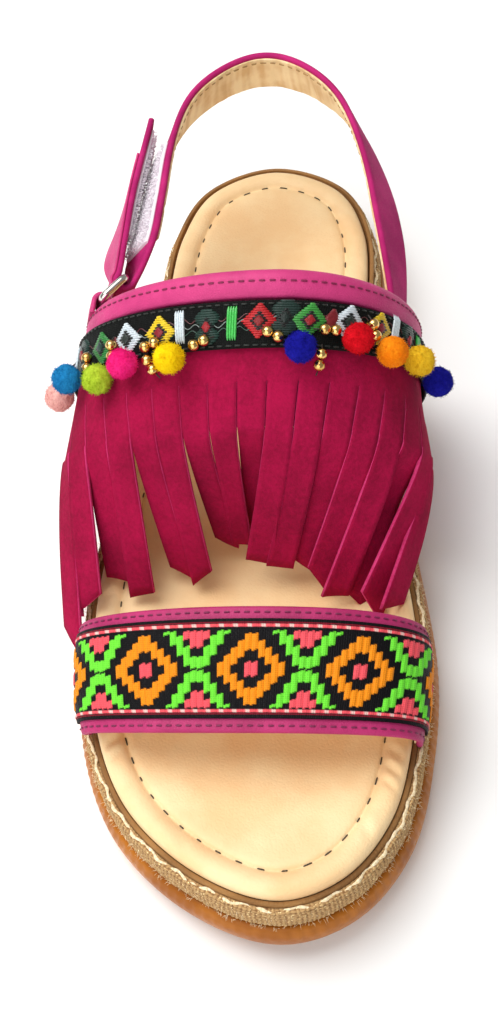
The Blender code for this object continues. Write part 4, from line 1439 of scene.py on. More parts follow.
@dataclass
class ToeStrap:
    """Pink leather band over the toes with a charted jacquard ribbon."""

    frame: Frame
    sole: SoleForm
    back: StrapEdge = StrapEdge(56.5, 21.0, -0.5, 64.0, 61.5, 0.0, 0.0, 2.0, 1.05, 0.84)
    front: StrapEdge = StrapEdge(30.5, 13.8, 0.0, 39.0, 36.0, 0.0, 0.0, 2.0, 1.05, 0.90)
    wall: float = 1.8
    ribbon_base: float = 2.0
    ribbon_top: float = 2.52
    ribbon_margin: float = 2.9
    repeat: float = 21.9
    columns: int = 16
    slant: float = 0.4
    first_diamond: float = 49.9
    field_middle: float = 13.7
    field_half: float = 8.2
    border_dash: float = 2.74
    ground: str = "#070508"

    def build(self) -> None:
        """Makes the leather, its lining and stitches, and the ribbon."""
        self.form = StrapForm(self.sole, self.back, self.front)
        places = np.linspace(0.0, 1.0, 161)
        width, face = self.form.width, self.wall + 0.1
        # The toe strap's finish is a deeper copy of the pink leather: painted shade.
        leather = self.frame.piece(
            "toe_strap_leather", self.form.strip(places, slab_loop(0.0, width, 0.4, face, 22)),
            [Finish.TOE_PINK], Slot.PINK, ["toe_strap"])
        lining = self.frame.piece(
            "toe_strap_lining", self.form.strip(places, slab_loop(0.7, width - 0.7, -0.02, 0.38, 18)),
            [Finish.LINING], Slot.CREAM)
        seams = [self.form.seam(0.02, 0.98, drop, face) for drop in (1.4, width - 1.4)]
        rows = [stitch_row(line, up, 2.1, 1.35, 0.2, 0.3, "#7C1048") for line, up in seams]
        self.frame.piece("toe_strap_stitches", Surface.joined(rows), [Finish.STITCH], Slot.PINK)
        self.ribbon()

    def chart_dye(self, column: Array, inside: Array, drop: Array) -> tuple[Array, Array]:
        """The ribbon's chart, with each thread column a step of the motif whose ends are cut on a slant.

        Diamonds are |u| / a + |v| / b under 1, with rings at shares of that sum. The crosses are where |u|
        from the cross's middle is within an arm's half width of a line that opens with |v|, and the triangles
        fill the cross's top and bottom. Dashed and plain lines run along both borders.

        Args:
            column: Column number from a diamond's middle, with halves at the column's middle.
            inside: Place inside the column, from -0.5 to 0.5.
            drop: Distance from the strap's back edge.

        Returns:
            The dye and how high its float stands, from 0 to 1.
        """
        pitch = self.repeat / self.columns
        u = np.abs((column * pitch + self.repeat / 2) % self.repeat - self.repeat / 2)
        v = np.abs(drop + self.slant * inside - self.field_middle)
        cross = self.repeat / 2 - u
        diamond = u / 7.7 + v / 8.6
        arm = np.abs(cross - 0.3 - 5.0 * v / self.field_half) < 1.25
        triangle = cross < 0.685 + (v - 4.7) / 1.3
        palette = {name: np.array(linear(code)) for name, code in (
            ("black", self.ground), ("orange", "#F28F16"), ("coral", "#EE5660"), ("green", "#6FE03A"),
            ("wine", "#8E0E28"), ("pale", "#F4C4BC"))}
        in_field = v < self.field_half
        from_rim = np.minimum(drop, self.form.width - drop)
        dashed = (from_rim > 4.15) & (from_rim < 4.8)
        dash = ((column + inside) * pitch / self.border_dash) % 1.0 < 0.66
        layers = (
            (in_field & arm & (v > 0.28), "green", 1.0),
            (in_field & triangle, "coral", 0.9),
            (in_field & (diamond < 0.97), "orange", 1.0),
            (in_field & (diamond < 0.56), "black", 0.1),
            (in_field & (diamond < 0.262), "coral", 0.85),
            ((from_rim > 3.6) & (from_rim < 3.9), "wine", 0.5),
            (dashed, "pale", 0.7),
            (dashed & dash, "coral", 0.9),
        )
        shape = np.broadcast_shapes(v.shape, dash.shape)
        dye = np.broadcast_to(palette["black"], (*shape, 4)).copy()
        height = np.full(shape, 0.1)
        for mask, name, stand in layers:
            mask = np.broadcast_to(mask, shape)
            dye[mask] = palette[name]
            height[mask] = stand
        return dye, height

    def ribbon(self) -> None:
        """Jacquard ribbon: five stations to a thread column, each float a rounded ridge with rounded ends."""
        form = self.form
        pitch = self.repeat / self.columns
        first = math.ceil(-self.first_diamond / pitch)
        last = math.floor((form.length - self.first_diamond) / pitch)
        numbers = np.arange(first, last)[:, None] + 0.5
        inside = np.tile(np.array([-0.475, -0.3, 0.0, 0.3, 0.475])[None], (len(numbers), 1)).ravel()
        column = np.repeat(numbers, 5, axis=1).ravel()
        along = self.first_diamond + (column + inside) * pitch
        places = along / form.length
        start, end = self.ribbon_margin, form.width - self.ribbon_margin
        face = np.linspace(start, end, 100)
        dye, height = self.chart_dye(column[:, None], inside[:, None], face[None])
        for _ in range(2):
            wide = np.pad(height, ((0, 0), (1, 1)), mode="edge")
            height = 0.25 * wide[:, :-2] + 0.5 * wide[:, 1:-1] + 0.25 * wide[:, 2:]
        ridge = np.sqrt(1.0 - (inside / 0.5) ** 2)[:, None]
        edge = np.minimum(face - start, end - face)[None]
        top = self.ribbon_top + (0.05 + 0.36 * ridge) * height * step_up(edge, 0.0, 0.5)
        under = np.linspace(end, start, 12)
        drops = np.concatenate([face, under, face[:1]])
        rows = len(places)
        offsets = np.hstack([top, np.full((rows, len(under)), self.ribbon_base), top[:, :1]])
        black = dyed(self.ground, rows, len(under))
        dyes = np.concatenate([dye, black, dye[:, :1]], axis=1)
        points = form.at(places[:, None], drops[None], offsets)
        surface = swept(points, charted(along, drops), dyes)
        ribbon = self.frame.piece("jacquard_ribbon", surface, [Finish.RIBBON], Slot.RIBBON,
                                  ["toe_ribbon"], 80.0)


# The instep strap with its trimmings

class Motif(Enum):
    """Embroidered shapes on the braid, with half their width and half their height."""

    DIAMOND = (3.9, 3.6)
    BAR = (0.75, 4.0)
    LEAF = (3.0, 3.7)
    BIT = (1.4, 2.0)


@dataclass
class InstepStrap:
    """Leather strap over the instep with its binding, suede fringe, braid, felt balls and beads.

    A strip's row in tips gives where its tip is along and across the foot and over the insole, how far the
    strip keeps the strap's slope, its width at the tip as a share, its turn in radians and how far it bulges.
    """

    frame: Frame
    sole: SoleForm
    back: StrapEdge = StrapEdge(117.0, 55.8, 5.5, 138.0, 138.0, 7.4, 8.8, 21.6, 1.0, 1.0)
    front: StrapEdge = StrapEdge(92.0, 36.4, 5.0, 101.0, 100.0, 6.6, 6.4, 14.5, 1.0, 1.0)
    wall: float = 1.8
    back_arc: float = 169.0
    binding_width: float = 4.8
    tape_start: float = 5.1
    tape_end: float = 15.1
    tape_base: float = 3.8
    tape_top: float = 4.5
    fringe_start: float = 9.0
    slit_start: float = 22.0
    fringe_middle: float = 2.8
    fringe_thickness: float = 0.8
    fringe_top: float = 3.25
    slit: float = 0.14
    fringe_from: float = 0.0723
    fringe_to: float = 0.876
    bend_share: float = 0.5
    edge_curl: float = 0.16
    strip_points: int = 7
    tips: Rows = (
        (76.0, -42.6, -13.0, 11.0, 0.9, -0.5, 0.0), (69.5, -42.4, -10.0, 11.0, 0.95, -0.4, 0.0),
        (62.5, -41.7, -5.0, 11.0, 0.95, -0.35, 0.0), (67.8, -37.0, 3.5, 11.0, 1.0, -0.25, 0.0),
        (73.7, -31.0, 3.5, 11.0, 1.0, -0.15, 0.0), (69.8, -25.6, 3.4, 11.0, 1.0, -0.1, 0.0),
        (75.3, -16.8, 3.8, 10.0, 0.9, 0.1, 0.0), (73.2, -12.2, 4.9, 9.0, 0.9, 0.08, 0.0),
        (82.6, -7.0, 5.2, 8.0, 0.8, 0.05, 0.2), (81.0, -3.6, 5.8, 9.0, 0.75, -0.05, -0.5),
        (83.9, -1.2, 4.4, 5.0, 0.7, 0.0, -1.3), (75.8, 0.5, 7.7, 11.0, 1.0, 0.15, 0.0),
        (75.1, 5.1, 6.9, 11.0, 1.0, 0.16, 0.3), (75.8, 9.7, 6.7, 11.0, 1.0, 0.16, -0.2),
        (72.4, 13.4, 5.2, 10.0, 1.02, 0.17, 0.2), (69.1, 17.0, 4.2, 9.0, 0.95, 0.24, 0.5),
        (67.0, 22.8, 4.4, 14.0, 1.65, 0.3, -4.5), (66.8, 24.8, 3.4, 12.0, 1.3, 0.35, 0.2),
        (66.6, 29.6, 3.2, 10.0, 1.3, 0.4, 0.0))
    pompom: float = 7.0
    felt_share: float = 0.93
    felt_hairs: int = 700
    bead: float = 2.5
    bead_thread: float = 0.16
    pair_pitch: float = 0.82
    trimming_base: float = 4.8
    on_tape_limit: float = 17.9
    pompoms: tuple[tuple[float, float, Slot], ...] = (
        (0.187, 18.0, Slot.PALE_PINK), (0.244, 17.2, Slot.SKY_BLUE), (0.298, 18.8, Slot.LIME),
        (0.347, 16.6, Slot.HOT_PINK), (0.413, 16.4, Slot.YELLOW), (0.573, 14.9, Slot.ROYAL_BLUE),
        (0.634, 12.5, Slot.RED), (0.682, 14.4, Slot.ORANGE), (0.730, 14.7, Slot.MUSTARD),
        (0.785, 17.0, Slot.ROYAL_BLUE))
    bead_pairs: Rows = (
        (0.216, 14.2, 90.0), (0.272, 14.0, 90.0), (0.321, 12.8, 90.0), (0.381, 12.9, -15.0),
        (0.379, 17.2, 60.0), (0.448, 13.4, -20.0), (0.541, 12.2, 25.0), (0.600, 17.4, 90.0),
        (0.604, 11.0, 0.0), (0.659, 9.8, 60.0), (0.757, 11.6, 30.0))
    motifs: tuple[tuple[Motif, float, float, str, str], ...] = (
        (Motif.DIAMOND, 0.118, 10.4, "#E8C21C", "#8E1020"), (Motif.BAR, 0.150, 10.2, "#3FBE4A", ""),
        (Motif.DIAMOND, 0.182, 10.4, "#B3141E", "#5A0A10"), (Motif.BAR, 0.214, 10.4, "#D8E4EA", ""),
        (Motif.LEAF, 0.246, 10.8, "#14382E", "#8E1020"), (Motif.DIAMOND, 0.294, 11.0, "#2F8A3C", "#14382E"),
        (Motif.BIT, 0.320, 11.6, "#6E1018", ""), (Motif.DIAMOND, 0.341, 10.6, "#DCE8EE", "#1C2A24"),
        (Motif.DIAMOND, 0.392, 10.4, "#F2D21C", "#8E1020"), (Motif.BAR, 0.420, 9.7, "#DCE8EE", ""),
        (Motif.LEAF, 0.456, 10.2, "#14382E", "#A01620"), (Motif.BAR, 0.488, 9.7, "#3CC04C", ""),
        (Motif.DIAMOND, 0.522, 9.4, "#C0161E", "#8A0E16"), (Motif.LEAF, 0.552, 8.8, "#123028", "#0C201A"),
        (Motif.DIAMOND, 0.580, 9.2, "#3C9A3C", "#A01620"), (Motif.BIT, 0.606, 8.6, "#7A121C", ""),
        (Motif.DIAMOND, 0.627, 8.8, "#DCE8EE", "#1C2A24"), (Motif.DIAMOND, 0.672, 8.9, "#EBCB22", "#8E1020"),
        (Motif.BAR, 0.700, 8.4, "#DCE8EE", ""), (Motif.LEAF, 0.730, 9.2, "#14382E", "#A01620"),
        (Motif.BAR, 0.762, 9.6, "#3CC04C", ""), (Motif.DIAMOND, 0.800, 10.0, "#C0161E", "#8A0E16"),
        (Motif.DIAMOND, 0.850, 10.2, "#3C9A3C", "#A01620"),
        (Motif.DIAMOND, 0.895, 10.2, "#DCE8EE", "#1C2A24"))

    def build(self) -> None:
        """Makes the strap and then what it carries, from the inside out."""
        self.form = StrapForm(self.sole, self.back, self.front)
        self.leather()
        self.binding()
        self.fringe()
        self.tape()
        self.embroidery()
        self.felt_balls()
        self.beads()

    def leather(self) -> None:
        """Strap wall and lining: flat sections carried round the form."""
        form = self.form
        places = np.linspace(0.0, 1.0, 201)
        wall = self.frame.piece(
            "instep_strap_leather", form.strip(places, slab_loop(0.0, form.width, 0.45, self.wall, 24)),
            [Finish.PINK], Slot.PINK, ["instep_and_heel_strap"])
        lining = self.frame.piece(
            "instep_strap_lining", form.strip(places, slab_loop(0.4, form.width - 0.5, -0.02, 0.42, 20)),
            [Finish.LINING], Slot.CREAM)

    def binding(self) -> None:
        """Binding: a strip folded over the back edge, with a row of stitches below the fold."""
        form = self.form
        line = evenly(smooth_through(np.array([
            (self.binding_width, 2.62), (3.4, 2.96), (1.6, 2.98), (0.2, 2.72), (-0.62, 1.9), (-0.7, 0.7),
            (0.1, -0.28), (1.4, -0.5), (3.0, -0.44)]), False, 6), 36)
        share = np.linspace(0.0, 1.0, len(line))
        thickness = 1.2 * np.clip(np.sin(math.pi * np.clip(share * 9.0, 0.0, 0.5)), 0.25, 1.0)
        thickness = thickness * (1.0 - 0.55 * step_up(share, 0.55, 0.75))
        surface = form.strip(np.linspace(0.0, 1.0, 241), folded_loop(line, thickness))
        bind = self.frame.piece("strap_binding", surface, [Finish.PINK], Slot.PINK, ["instep_binding"], 70.0)
        seam, up = form.seam(0.02, 0.98, 1.0, 3.5)
        stitches = stitch_row(seam, up, 2.2, 1.45, 0.21, 0.3, "#861048")
        self.frame.piece("binding_stitches", stitches, [Finish.STITCH], Slot.PINK)

    def fringe(self) -> None:
        """Fringe: one sheet, whole under the braid and slit into strips below.

        On the strap a strip keeps the strap's form. Past its front edge its middle runs along a quadratic
        curve from the edge, held to the strap's slope for the bend's length and then drawn to its tip. Its
        width changes evenly to the tip, it is cupped and turned a little, and its end is cut on a slant.
        """
        form, tips = self.form, np.array(self.tips)
        count, points = len(tips), self.strip_points
        pitch = (self.fringe_to - self.fringe_from) / count
        arc = run_lengths(form.at(np.linspace(0.0, 1.0, 300), form.width))[-1]
        gap = self.slit / arc / 2
        starts = self.fringe_from + pitch * np.arange(count)
        across = np.linspace(0.0, 1.0, points)
        places = (starts + gap)[:, None] + (pitch - 2 * gap) * across[None]
        band = np.concatenate([np.linspace(self.fringe_start, self.slit_start, 9),
                               np.linspace(self.slit_start, form.width, 9)[1:]])
        side = np.linspace(-1.0, 1.0, points)[None, None, :]
        curl = self.edge_curl * side ** 4
        curled = curl * step_up(band, self.slit_start, self.slit_start + 3.0)[None, :, None]
        on_strap = form.at(places[:, None, :], band[None, :, None], self.fringe_middle + curled)
        middle = places.mean(axis=1)
        root = form.at(middle, form.width, self.fringe_middle)
        slope = unit(form.at(middle, form.width) - form.at(middle, form.width - 3.0))
        half = (on_strap[:, -1, -1] - on_strap[:, -1, 0]) / 2
        tip = tips[:, [1, 0, 2]] + np.array([0.0, -self.sole.length / 2, self.sole.insole_top])
        bend = root + slope * tips[:, 3:4] * self.bend_share
        rng = np.random.default_rng(4)
        slant = rng.uniform(-0.045, 0.045, count)[:, None, None]
        steps = np.linspace(0.0, 1.0, 27)[1:][None, :, None]
        t = steps * (1.0 + slant * side * np.linspace(0.0, 1.0, 26)[None, :, None])
        t = np.clip(t, 0.0, 1.03)[..., None]
        root, bend, tip = (x[:, None, None] for x in (root, bend, tip))
        path = (1 - t) ** 2 * root + 2 * t * (1 - t) * bend + t ** 2 * tip
        heading = unit(2 * (1 - t) * (bend - root) + 2 * t * (tip - bend))
        spread = half[:, None, None] - heading * np.sum(half[:, None, None] * heading, axis=-1, keepdims=True)
        widths, turns, sinks = (tips[:, column, None, None, None] for column in (4, 5, 6))
        narrow = 1.0 + (widths - 1.0) * t
        spread = unit(spread) * np.linalg.norm(half, axis=-1)[:, None, None, None] * narrow
        through = unit(np.cross(heading, spread))
        turn = turns * step_up(t, 0.0, 0.8)
        cup = rng.uniform(-0.4, 0.4, count)[:, None, None, None] * t * (1.0 - side[..., None] ** 2)
        cup = cup + sinks * step_up(t, 0.05, 0.65) + curl[..., None]
        lean = spread * np.cos(turn) + through * np.linalg.norm(spread, axis=-1, keepdims=True) * np.sin(turn)
        free = path + lean * side[..., None] + through * cup
        rows = len(band) + free.shape[1]
        whole = np.concatenate([on_strap, free], axis=1)
        grid = whole.transpose(1, 0, 2, 3).reshape(rows, count * points, 3)
        faces = grid_faces(rows, count * points)
        row, column = np.divmod(faces[:, 0], count * points)
        slit = (column % points == points - 1) & (row >= 8)
        surface = Surface(grid.reshape(-1, 3), [faces[~slit]])
        # The rim of the thickened sheet takes the lighter cut-edge finish, a painted highlight.
        sheet = self.frame.piece("suede_fringe", surface, [Finish.SUEDE, Finish.CUT_EDGE], Slot.SUEDE,
                                 ["fringe"], 50.0, shell=False)
        wall = sheet.modifiers.new("suede_thickness", "SOLIDIFY")
        wall.thickness = self.fringe_thickness * MM
        wall.offset = 0.0
        wall.material_offset_rim = 1

    def tape(self) -> None:
        """Braid ground: a flat section carried round the form; the stitches along both edges come with the
        embroidery.
        """
        form = self.form
        loop = slab_loop(self.tape_start, self.tape_end, self.tape_base, self.tape_top, 22)
        surface = form.strip(np.linspace(0.0, 1.0, 241), loop, "#070A08")
        tape = self.frame.piece("braid_ground", surface, [Finish.TAPE], Slot.RIBBON, ["braid_tape"])

    def satin(self, place: float, drop: float, lane: Array, reach: Array, rise: float, radius: float,
              dye: str, upright: bool = False) -> Surface:
        """Satin stitches: parallel threads on the braid that arch from one end to the other.

        Args:
            place: Place of the motif's middle.
            drop: Drop of the motif's middle.
            lane: How far each thread lies from the motif's middle line.
            reach: Half the length of each thread.
            rise: How high the threads lie over the braid.
            radius: Radius of a thread.
            dye: Their colour.
            upright: Whether the threads run down the strap instead of round the foot.

        Returns:
            The threads as one surface.
        """
        share = np.linspace(-1.0, 1.0, 8)[None]
        along, down = reach[:, None] * share, np.broadcast_to(lane[:, None], (len(lane), 8))
        if upright:
            along, down = down, along
        places, drops = place + along / (self.back_arc - drop), drop + down
        lift = rise + radius * 0.6 - 0.55 * np.abs(share) ** 5
        lines = self.form.at(places, drops, self.tape_top + lift)
        radii = radius * np.sqrt(np.clip(1.0 - np.abs(share) ** 8, 0.0, 1.0))
        return tubes(lines, radii, self.form.outward(places, drops), 6, dyed(dye, len(lines)))

    def embroidery(self) -> None:
        """Motifs on the braid, each of satin stitches cut to its outline, over three wavy threads."""
        rows = []
        for kind, place, drop, dye, heart in self.motifs:
            wide, tall = kind.value
            if kind is Motif.BAR:
                lane, reach = np.linspace(-wide, wide, 4), np.full(4, tall)
                rows.append(self.satin(place, drop, lane, reach, 0.1, 0.3, dye, upright=True))
                continue
            lane = np.linspace(-0.94, 0.94, 15) * tall
            reach = wide * (1.0 - np.abs(lane) / tall) + 0.25
            if kind is Motif.LEAF:
                reach = wide * (0.35 + 0.65 * np.abs(np.sin(math.pi * lane / tall)))
            rows.append(self.satin(place, drop, lane, reach, 0.08, 0.29, dye))
            inner = ((0.52, 0.36, "#0A0C0A"), (0.26, 0.62, heart)) if heart else ()
            for size, rise, hue in inner:
                lane = np.linspace(-0.9, 0.9, 7) * tall * size
                reach = wide * (size - np.abs(lane) / tall) + 0.2
                rows.append(self.satin(place, drop, lane, reach, rise, 0.27, hue))
        _, guide, level, _, _ = zip(*self.motifs)
        places = np.linspace(0.1, 0.9, 500)
        for shift, dye in ((-1.2, "#5E1C22"), (0.0, "#7C8A84"), (1.3, "#1E4A3A")):
            wander = np.interp(places, guide, level) + shift + 0.5 * np.sin(places * 310.0 + shift)
            line = self.form.at(places, wander, self.tape_top + 0.05)
            rows.append(tubes(line[None], 0.1, self.form.outward(places, wander)[None], 5, dyed(dye, 1)))
        for drop in (self.tape_start + 0.7, self.tape_end - 0.7):
            line, up = self.form.seam(0.01, 0.99, drop, self.tape_top)
            rows.append(stitch_row(line, up, 1.9, 1.25, 0.2, 0.3, "#1C241E"))
        self.frame.piece("braid_embroidery", Surface.joined(rows), [Finish.SATIN], Slot.RIBBON)

    def felt_balls(self) -> None:
        """Felt balls: a ball swelled by random waves, with loose curved fibres standing from it."""
        for number, (place, drop, slot) in enumerate(self.pompoms, 1):
            seat = self.trimming_base if drop < self.on_tape_limit else self.fringe_top + 0.3
            radius = self.pompom / 2
            centre = self.form.at(place, drop, seat + radius)
            out = ball_ways(56, 36)
            points = centre + radius * self.felt_share * out
            swell = 0.1 * plane_waves(points, 40 + number, 14, 2.6)
            swell = swell + 0.05 * plane_waves(points, 60 + number, 14, 1.1)
            rng = np.random.default_rng(80 + number)
            count = self.felt_hairs
            ways = unit(rng.normal(size=(count, 3)))
            lean = unit(ways + rng.normal(0.0, 0.75, (count, 3)))
            length = rng.uniform(0.3, 0.75, (count, 1, 1))
            share = np.linspace(0.0, 1.0, 3)[None, :, None]
            curl = np.cross(ways, unit(rng.normal(size=(count, 3))))[:, None] * 0.35 * share ** 2
            hairs = centre + ways[:, None] * radius * 0.92 + (lean[:, None] * share + curl) * length
            fibres = tubes(hairs, np.array([[0.05, 0.046, 0.0]]), SKEW, 3)
            surface = Surface.joined([ball(points + out * swell[..., None]), fibres])
            self.frame.piece(f"felt_ball_{number:02d}", surface, [Finish[f"FELT_{slot.name}"]], slot,
                             [f"pompom_{number:02d}"], 80.0)

    def beads(self) -> None:
        """Bead pairs: balls dimpled where the thread goes in, on a short thread that passes through both."""
        form, radius = self.form, self.bead / 2
        stand = self.trimming_base + radius
        threads = []
        for number, (place, drop, turn) in enumerate(self.bead_pairs, 1):
            middle = form.at(place, drop, stand)
            round_foot = unit(form.at(place + 0.002, drop, stand) - middle)
            forward = unit(form.at(place, drop + 0.3, stand) - middle)
            angle = math.radians(turn)
            way = unit(round_foot * math.cos(angle) + forward * math.sin(angle))
            out = ball_ways(28, 18)
            depth = radius * (1.0 - 0.16 * step_up(np.abs(out @ way), 0.94, 1.0))
            centres = [middle + way * sign * radius * self.pair_pitch * 1.2 for sign in (-1.0, 1.0)]
            parts = [ball(centre + out * depth[..., None]) for centre in centres]
            self.frame.piece(f"gold_beads_{number:02d}", Surface.joined(parts), [Finish.GOLD], Slot.GOLD,
                             [f"bead_pair_{number:02d}"], 80.0)
            share = np.linspace(-1.0, 1.0, 13)[:, None]
            up = form.outward(place, drop)
            threads.append(middle + way * share * 3.3 - up * np.abs(share) ** 3 * 1.1)
        lines = np.array(threads)
        thread = tubes(lines, self.bead_thread, SKEW, 6, dyed("#2A2018", len(lines)))
        self.frame.piece("bead_threads", thread, [Finish.STITCH], Slot.RIBBON)


# The heel strap and its fastening

@dataclass
class HeelStrap:
    """Strap round the heel, lined inside, folded back through a ring and held by hook and loop tape."""

    frame: Frame
    sole: SoleForm
    instep: StrapForm
    height: float = 12.0
    thickness: float = 2.0
    pad_height: float = 9.0
    wire: float = 1.8
    ring_length: float = 14.8
    ring_width: float = 7.2
    ring_corner: float = 1.5
    ring_place: float = 0.228
    ring_setback: float = 2.8
    ring_stand: float = 1.5
    ring_heading: tuple[float, float, float] = (0.66, 0.75, 0.05)
    fold_radius: float = 2.3
    tab_width: float = 9.6
    tab_thickness: float = 1.1
    turn_along: float = 178.0
    split: float = 0.4
    steps: int = 30
    fold_rows: int = 5
    easing: int = 160
    wrinkles: int = 40
    pile: int = 1500
    rows: Rows = (
        (148.0, 26.4, 41.0, 30.0), (171.0, 22.4, 41.0, 24.0), (189.5, 15.6, 41.0, 14.0),
        (200.4, 0.0, 41.0, 8.0), (190.0, -15.6, 41.0, 12.0), (175.0, -20.3, 41.0, 22.0),
        (155.0, -21.6, 41.0, 32.0), (140.0, -23.0, 41.0, 38.0))
    tail: Rows = (
        (142.0, -30.0, 41.0, 28.0), (157.0, -29.2, 41.2, 17.0), (178.5, -26.6, 41.5, 13.0))

    def build(self) -> None:
        """Makes the strap, its lining, its fastening tape, the ring and the ring's tab."""
        self.rails()
        self.strap()
        self.lining()
        self.cover()
        self.fastening()
        self.ring()
        self.tab()

    def ring_frame(self) -> tuple[Array, Array, Array]:
        """The ring's front bar, the bars' direction and the way to the rear bar."""
        front = self.instep.at(self.ring_place, -self.ring_setback, self.ring_stand)
        low = self.instep.at(self.ring_place - 0.02, -self.ring_setback, self.ring_stand)
        down = unit(low - front)
        heading = np.array(self.ring_heading)
        return front, down, unit(heading - down * np.dot(heading, down))

    def rails(self) -> None:
        """The strap's top edge and its downward directions: sewn end, heel rows, turn round the ring, tail.

        A row gives the place along and across the foot and over the insole, and the lean in degrees. Round
        the heel each point is drawn again and again towards the middle of its neighbours, which rounds it.
        """
        tops, downs = [], []
        for inset in (9.0, 1.5):
            line = self.instep.at(np.linspace(0.735, 1.0, 60), inset, 0.6 - self.thickness / 2)
            bottom = line[np.searchsorted(np.linalg.norm(line - line[0], axis=1), self.height)]
            tops.append(line[0])
            downs.append(unit(bottom - line[0]))
        front, bar_down, heading = self.ring_frame()
        fold = front + heading * self.ring_width - bar_down * self.height / 2
        inward = np.cross(bar_down, heading)
        for number, (along, across, top, lean) in enumerate(self.rows + self.tail):
            if number == len(self.rows):
                for turn in np.linspace(math.pi / 2, -math.pi / 2, self.fold_rows):
                    swing = inward * math.sin(turn) - heading * math.cos(turn)
                    tops.append(fold + self.fold_radius * swing)
                    downs.append(bar_down)
            out = unit(np.array([across, max(0.0, along - self.turn_along)]))
            tilt = math.radians(lean)
            tops.append(np.array([across, along - self.sole.length / 2, self.sole.insole_top + top]))
            downs.append(np.array([*(out * math.sin(tilt)), -math.cos(tilt)]))
        rails = smooth_through(np.hstack([tops, downs]), False, self.steps)
        row = np.arange(len(rails)) / self.steps
        ease = step_up(row, 2.2, 3.4) * (1.0 - step_up(row, 7.0, 8.2))
        for _ in range(self.easing):
            rails[1:-1] += 0.25 * ease[1:-1, None] * (rails[:-2] - 2.0 * rails[1:-1] + rails[2:])
        self.tops, self.downs = rails[:, :3], unit(rails[:, 3:])
        self.through = unit(np.cross(unit(np.gradient(self.tops, axis=0)), self.downs))
        self.lengths = run_lengths(self.tops)
        self.fold_start = (len(self.rows) + 1) * self.steps
        self.lined = np.arange(self.steps // 2, self.fold_start - 4)

    def at(self, stations: Array, down: Array, out: Array) -> Array:
        """Points on the strap by station, distance down from its top edge and distance through it."""
        depth = np.broadcast_to(out, (len(stations), len(down)))
        return (self.tops[stations][:, None] + self.downs[stations][:, None] * down[None, :, None]
                + self.through[stations][:, None] * depth[..., None])

    def between(self, rail: Array, stations: Array) -> Array:
        """A rail read between its stations.

        Args:
            rail: Values by station.
            stations: Stations, with their fractions.

        Returns:
            The values there.
        """
        low = stations.astype(int)
        mix = (stations - low)[:, None]
        return rail[low] * (1 - mix) + rail[low + 1] * mix

    def strap(self) -> None:
        """Leather: a flat section carried along the rails."""
        down, out = slab_loop(0.0, self.height, -self.thickness / 2, self.split, 10)
        points = self.at(np.arange(len(self.tops)), down, out)
        # The heel strap's finish is a deeper copy of the pink leather: painted shade.
        leather = self.frame.piece("heel_strap_leather", swept(points), [Finish.HEEL_PINK], Slot.PINK,
                                   ["instep_and_heel_strap"], 60.0)

    def lining(self) -> None:
        """Lining: a flat section, its face pressed in by wandering wrinkles, each a bell along the strap."""
        half, split, count = self.thickness / 2, self.split, self.wrinkles
        down, out = slab_loop(0.8, self.height - 0.6, split + 0.02, half, 14)
        rng = np.random.default_rng(17)
        run = (self.lengths[self.lined] - self.lengths[self.lined][0])[:, None]
        spots = np.concatenate([rng.uniform(0.3, 0.66, count - 12), rng.uniform(0.05, 0.95, 12)])
        depth, spread = rng.uniform(0.18, 0.5, count), rng.uniform(0.6, 1.1, count)
        wander = 0.5 * np.sin(down[None, :, None] * 0.45 + np.arange(count))
        folds = (depth * bell(run[..., None] + wander, run[-1] * spots, spread)).sum(axis=-1)
        inner = step_up(out, split + 0.3, half - 0.05) * bell(down, self.height / 2, self.height * 0.42)
        points = self.at(self.lined, down, out[None] - np.minimum(folds, 0.45) * inner[None])
        # Its finish paints crease shade and light into the colour.
        lining = self.frame.piece("heel_strap_lining", swept(points, charted(run[:, 0], down)),
                                  [Finish.CREASED], Slot.CREAM)

    def cover(self) -> None:
        """Tail cover, a flat section on the tail's outer face, and the stitches along the lining's top."""
        half = self.thickness / 2
        covered = np.arange(self.fold_start + 3 * self.steps, len(self.tops) - self.steps // 2)
        down, out = slab_loop(0.4, self.height - 0.4, self.split + 0.02, half, 14)
        surface = swept(self.at(covered, down, out))
        cover = self.frame.piece("tail_cover", surface, [Finish.PINK], Slot.PINK, (), 60.0)
        seam = self.at(self.lined, np.array([2.0]), np.array([half - 0.04]))[:, 0]
        row = stitch_row(seam, self.through[self.lined], 2.3, 1.4, 0.16, 0.25, "#B08A52", 0.2)
        self.frame.piece("heel_strap_stitches", row, [Finish.STITCH], Slot.CREAM)

    def fastening(self) -> None:
        """Hook and loop tape: thin pads where the fold's faces meet, with a pile of small arches."""
        face = self.thickness / 2 + 0.15
        inset = (self.height - self.pad_height) / 2
        tail_start = (len(self.rows) + 2 + self.fold_rows) * self.steps
        runs = {"loop_pad": (7 * self.steps + 5, 9 * self.steps),
                "hook_pad": (tail_start + 5, tail_start + 2 * self.steps - 2)}
        low, high = inset, self.height - inset
        for number, (node, (first, last)) in enumerate(runs.items()):
            stations = np.arange(first, last)
            down, out = slab_loop(low, high, -face - 0.45, -face + 0.25, 12)
            points = self.at(stations, down, out)
            chart = charted(run_lengths(self.tops[stations]), down)
            base = swept(points, chart, dyed("#F4EEF4", *points.shape[:2]))
            rng = np.random.default_rng(30 + number)
            count = self.pile
            at = first + rng.uniform(0, len(stations) - 1.001, count)
            drop = rng.uniform(low + 0.4, high - 0.4, (count, 1))
            seat = self.between(self.tops, at) + self.between(self.downs, at) * drop
            out_way = -unit(self.between(self.through, at))
            swing = unit(np.cross(out_way, unit(rng.normal(size=(count, 3)))))[:, None]
            share = np.linspace(0.0, 1.0, 5)[None, :, None]
            reach = rng.uniform(0.45, 0.85, (count, 1, 1))
            arch = (out_way[:, None] * np.sin(math.pi * share * 0.85) * 1.3 + swing * (share - 0.3)) * reach
            lines = (seat + out_way * (face + 0.4))[:, None] + arch
            shade = rng.uniform(0.0, 1.0, (count, 1))
            dye = shade * np.array(linear("#FBF8FB")) + (1 - shade) * np.array(linear("#E8DEE6"))
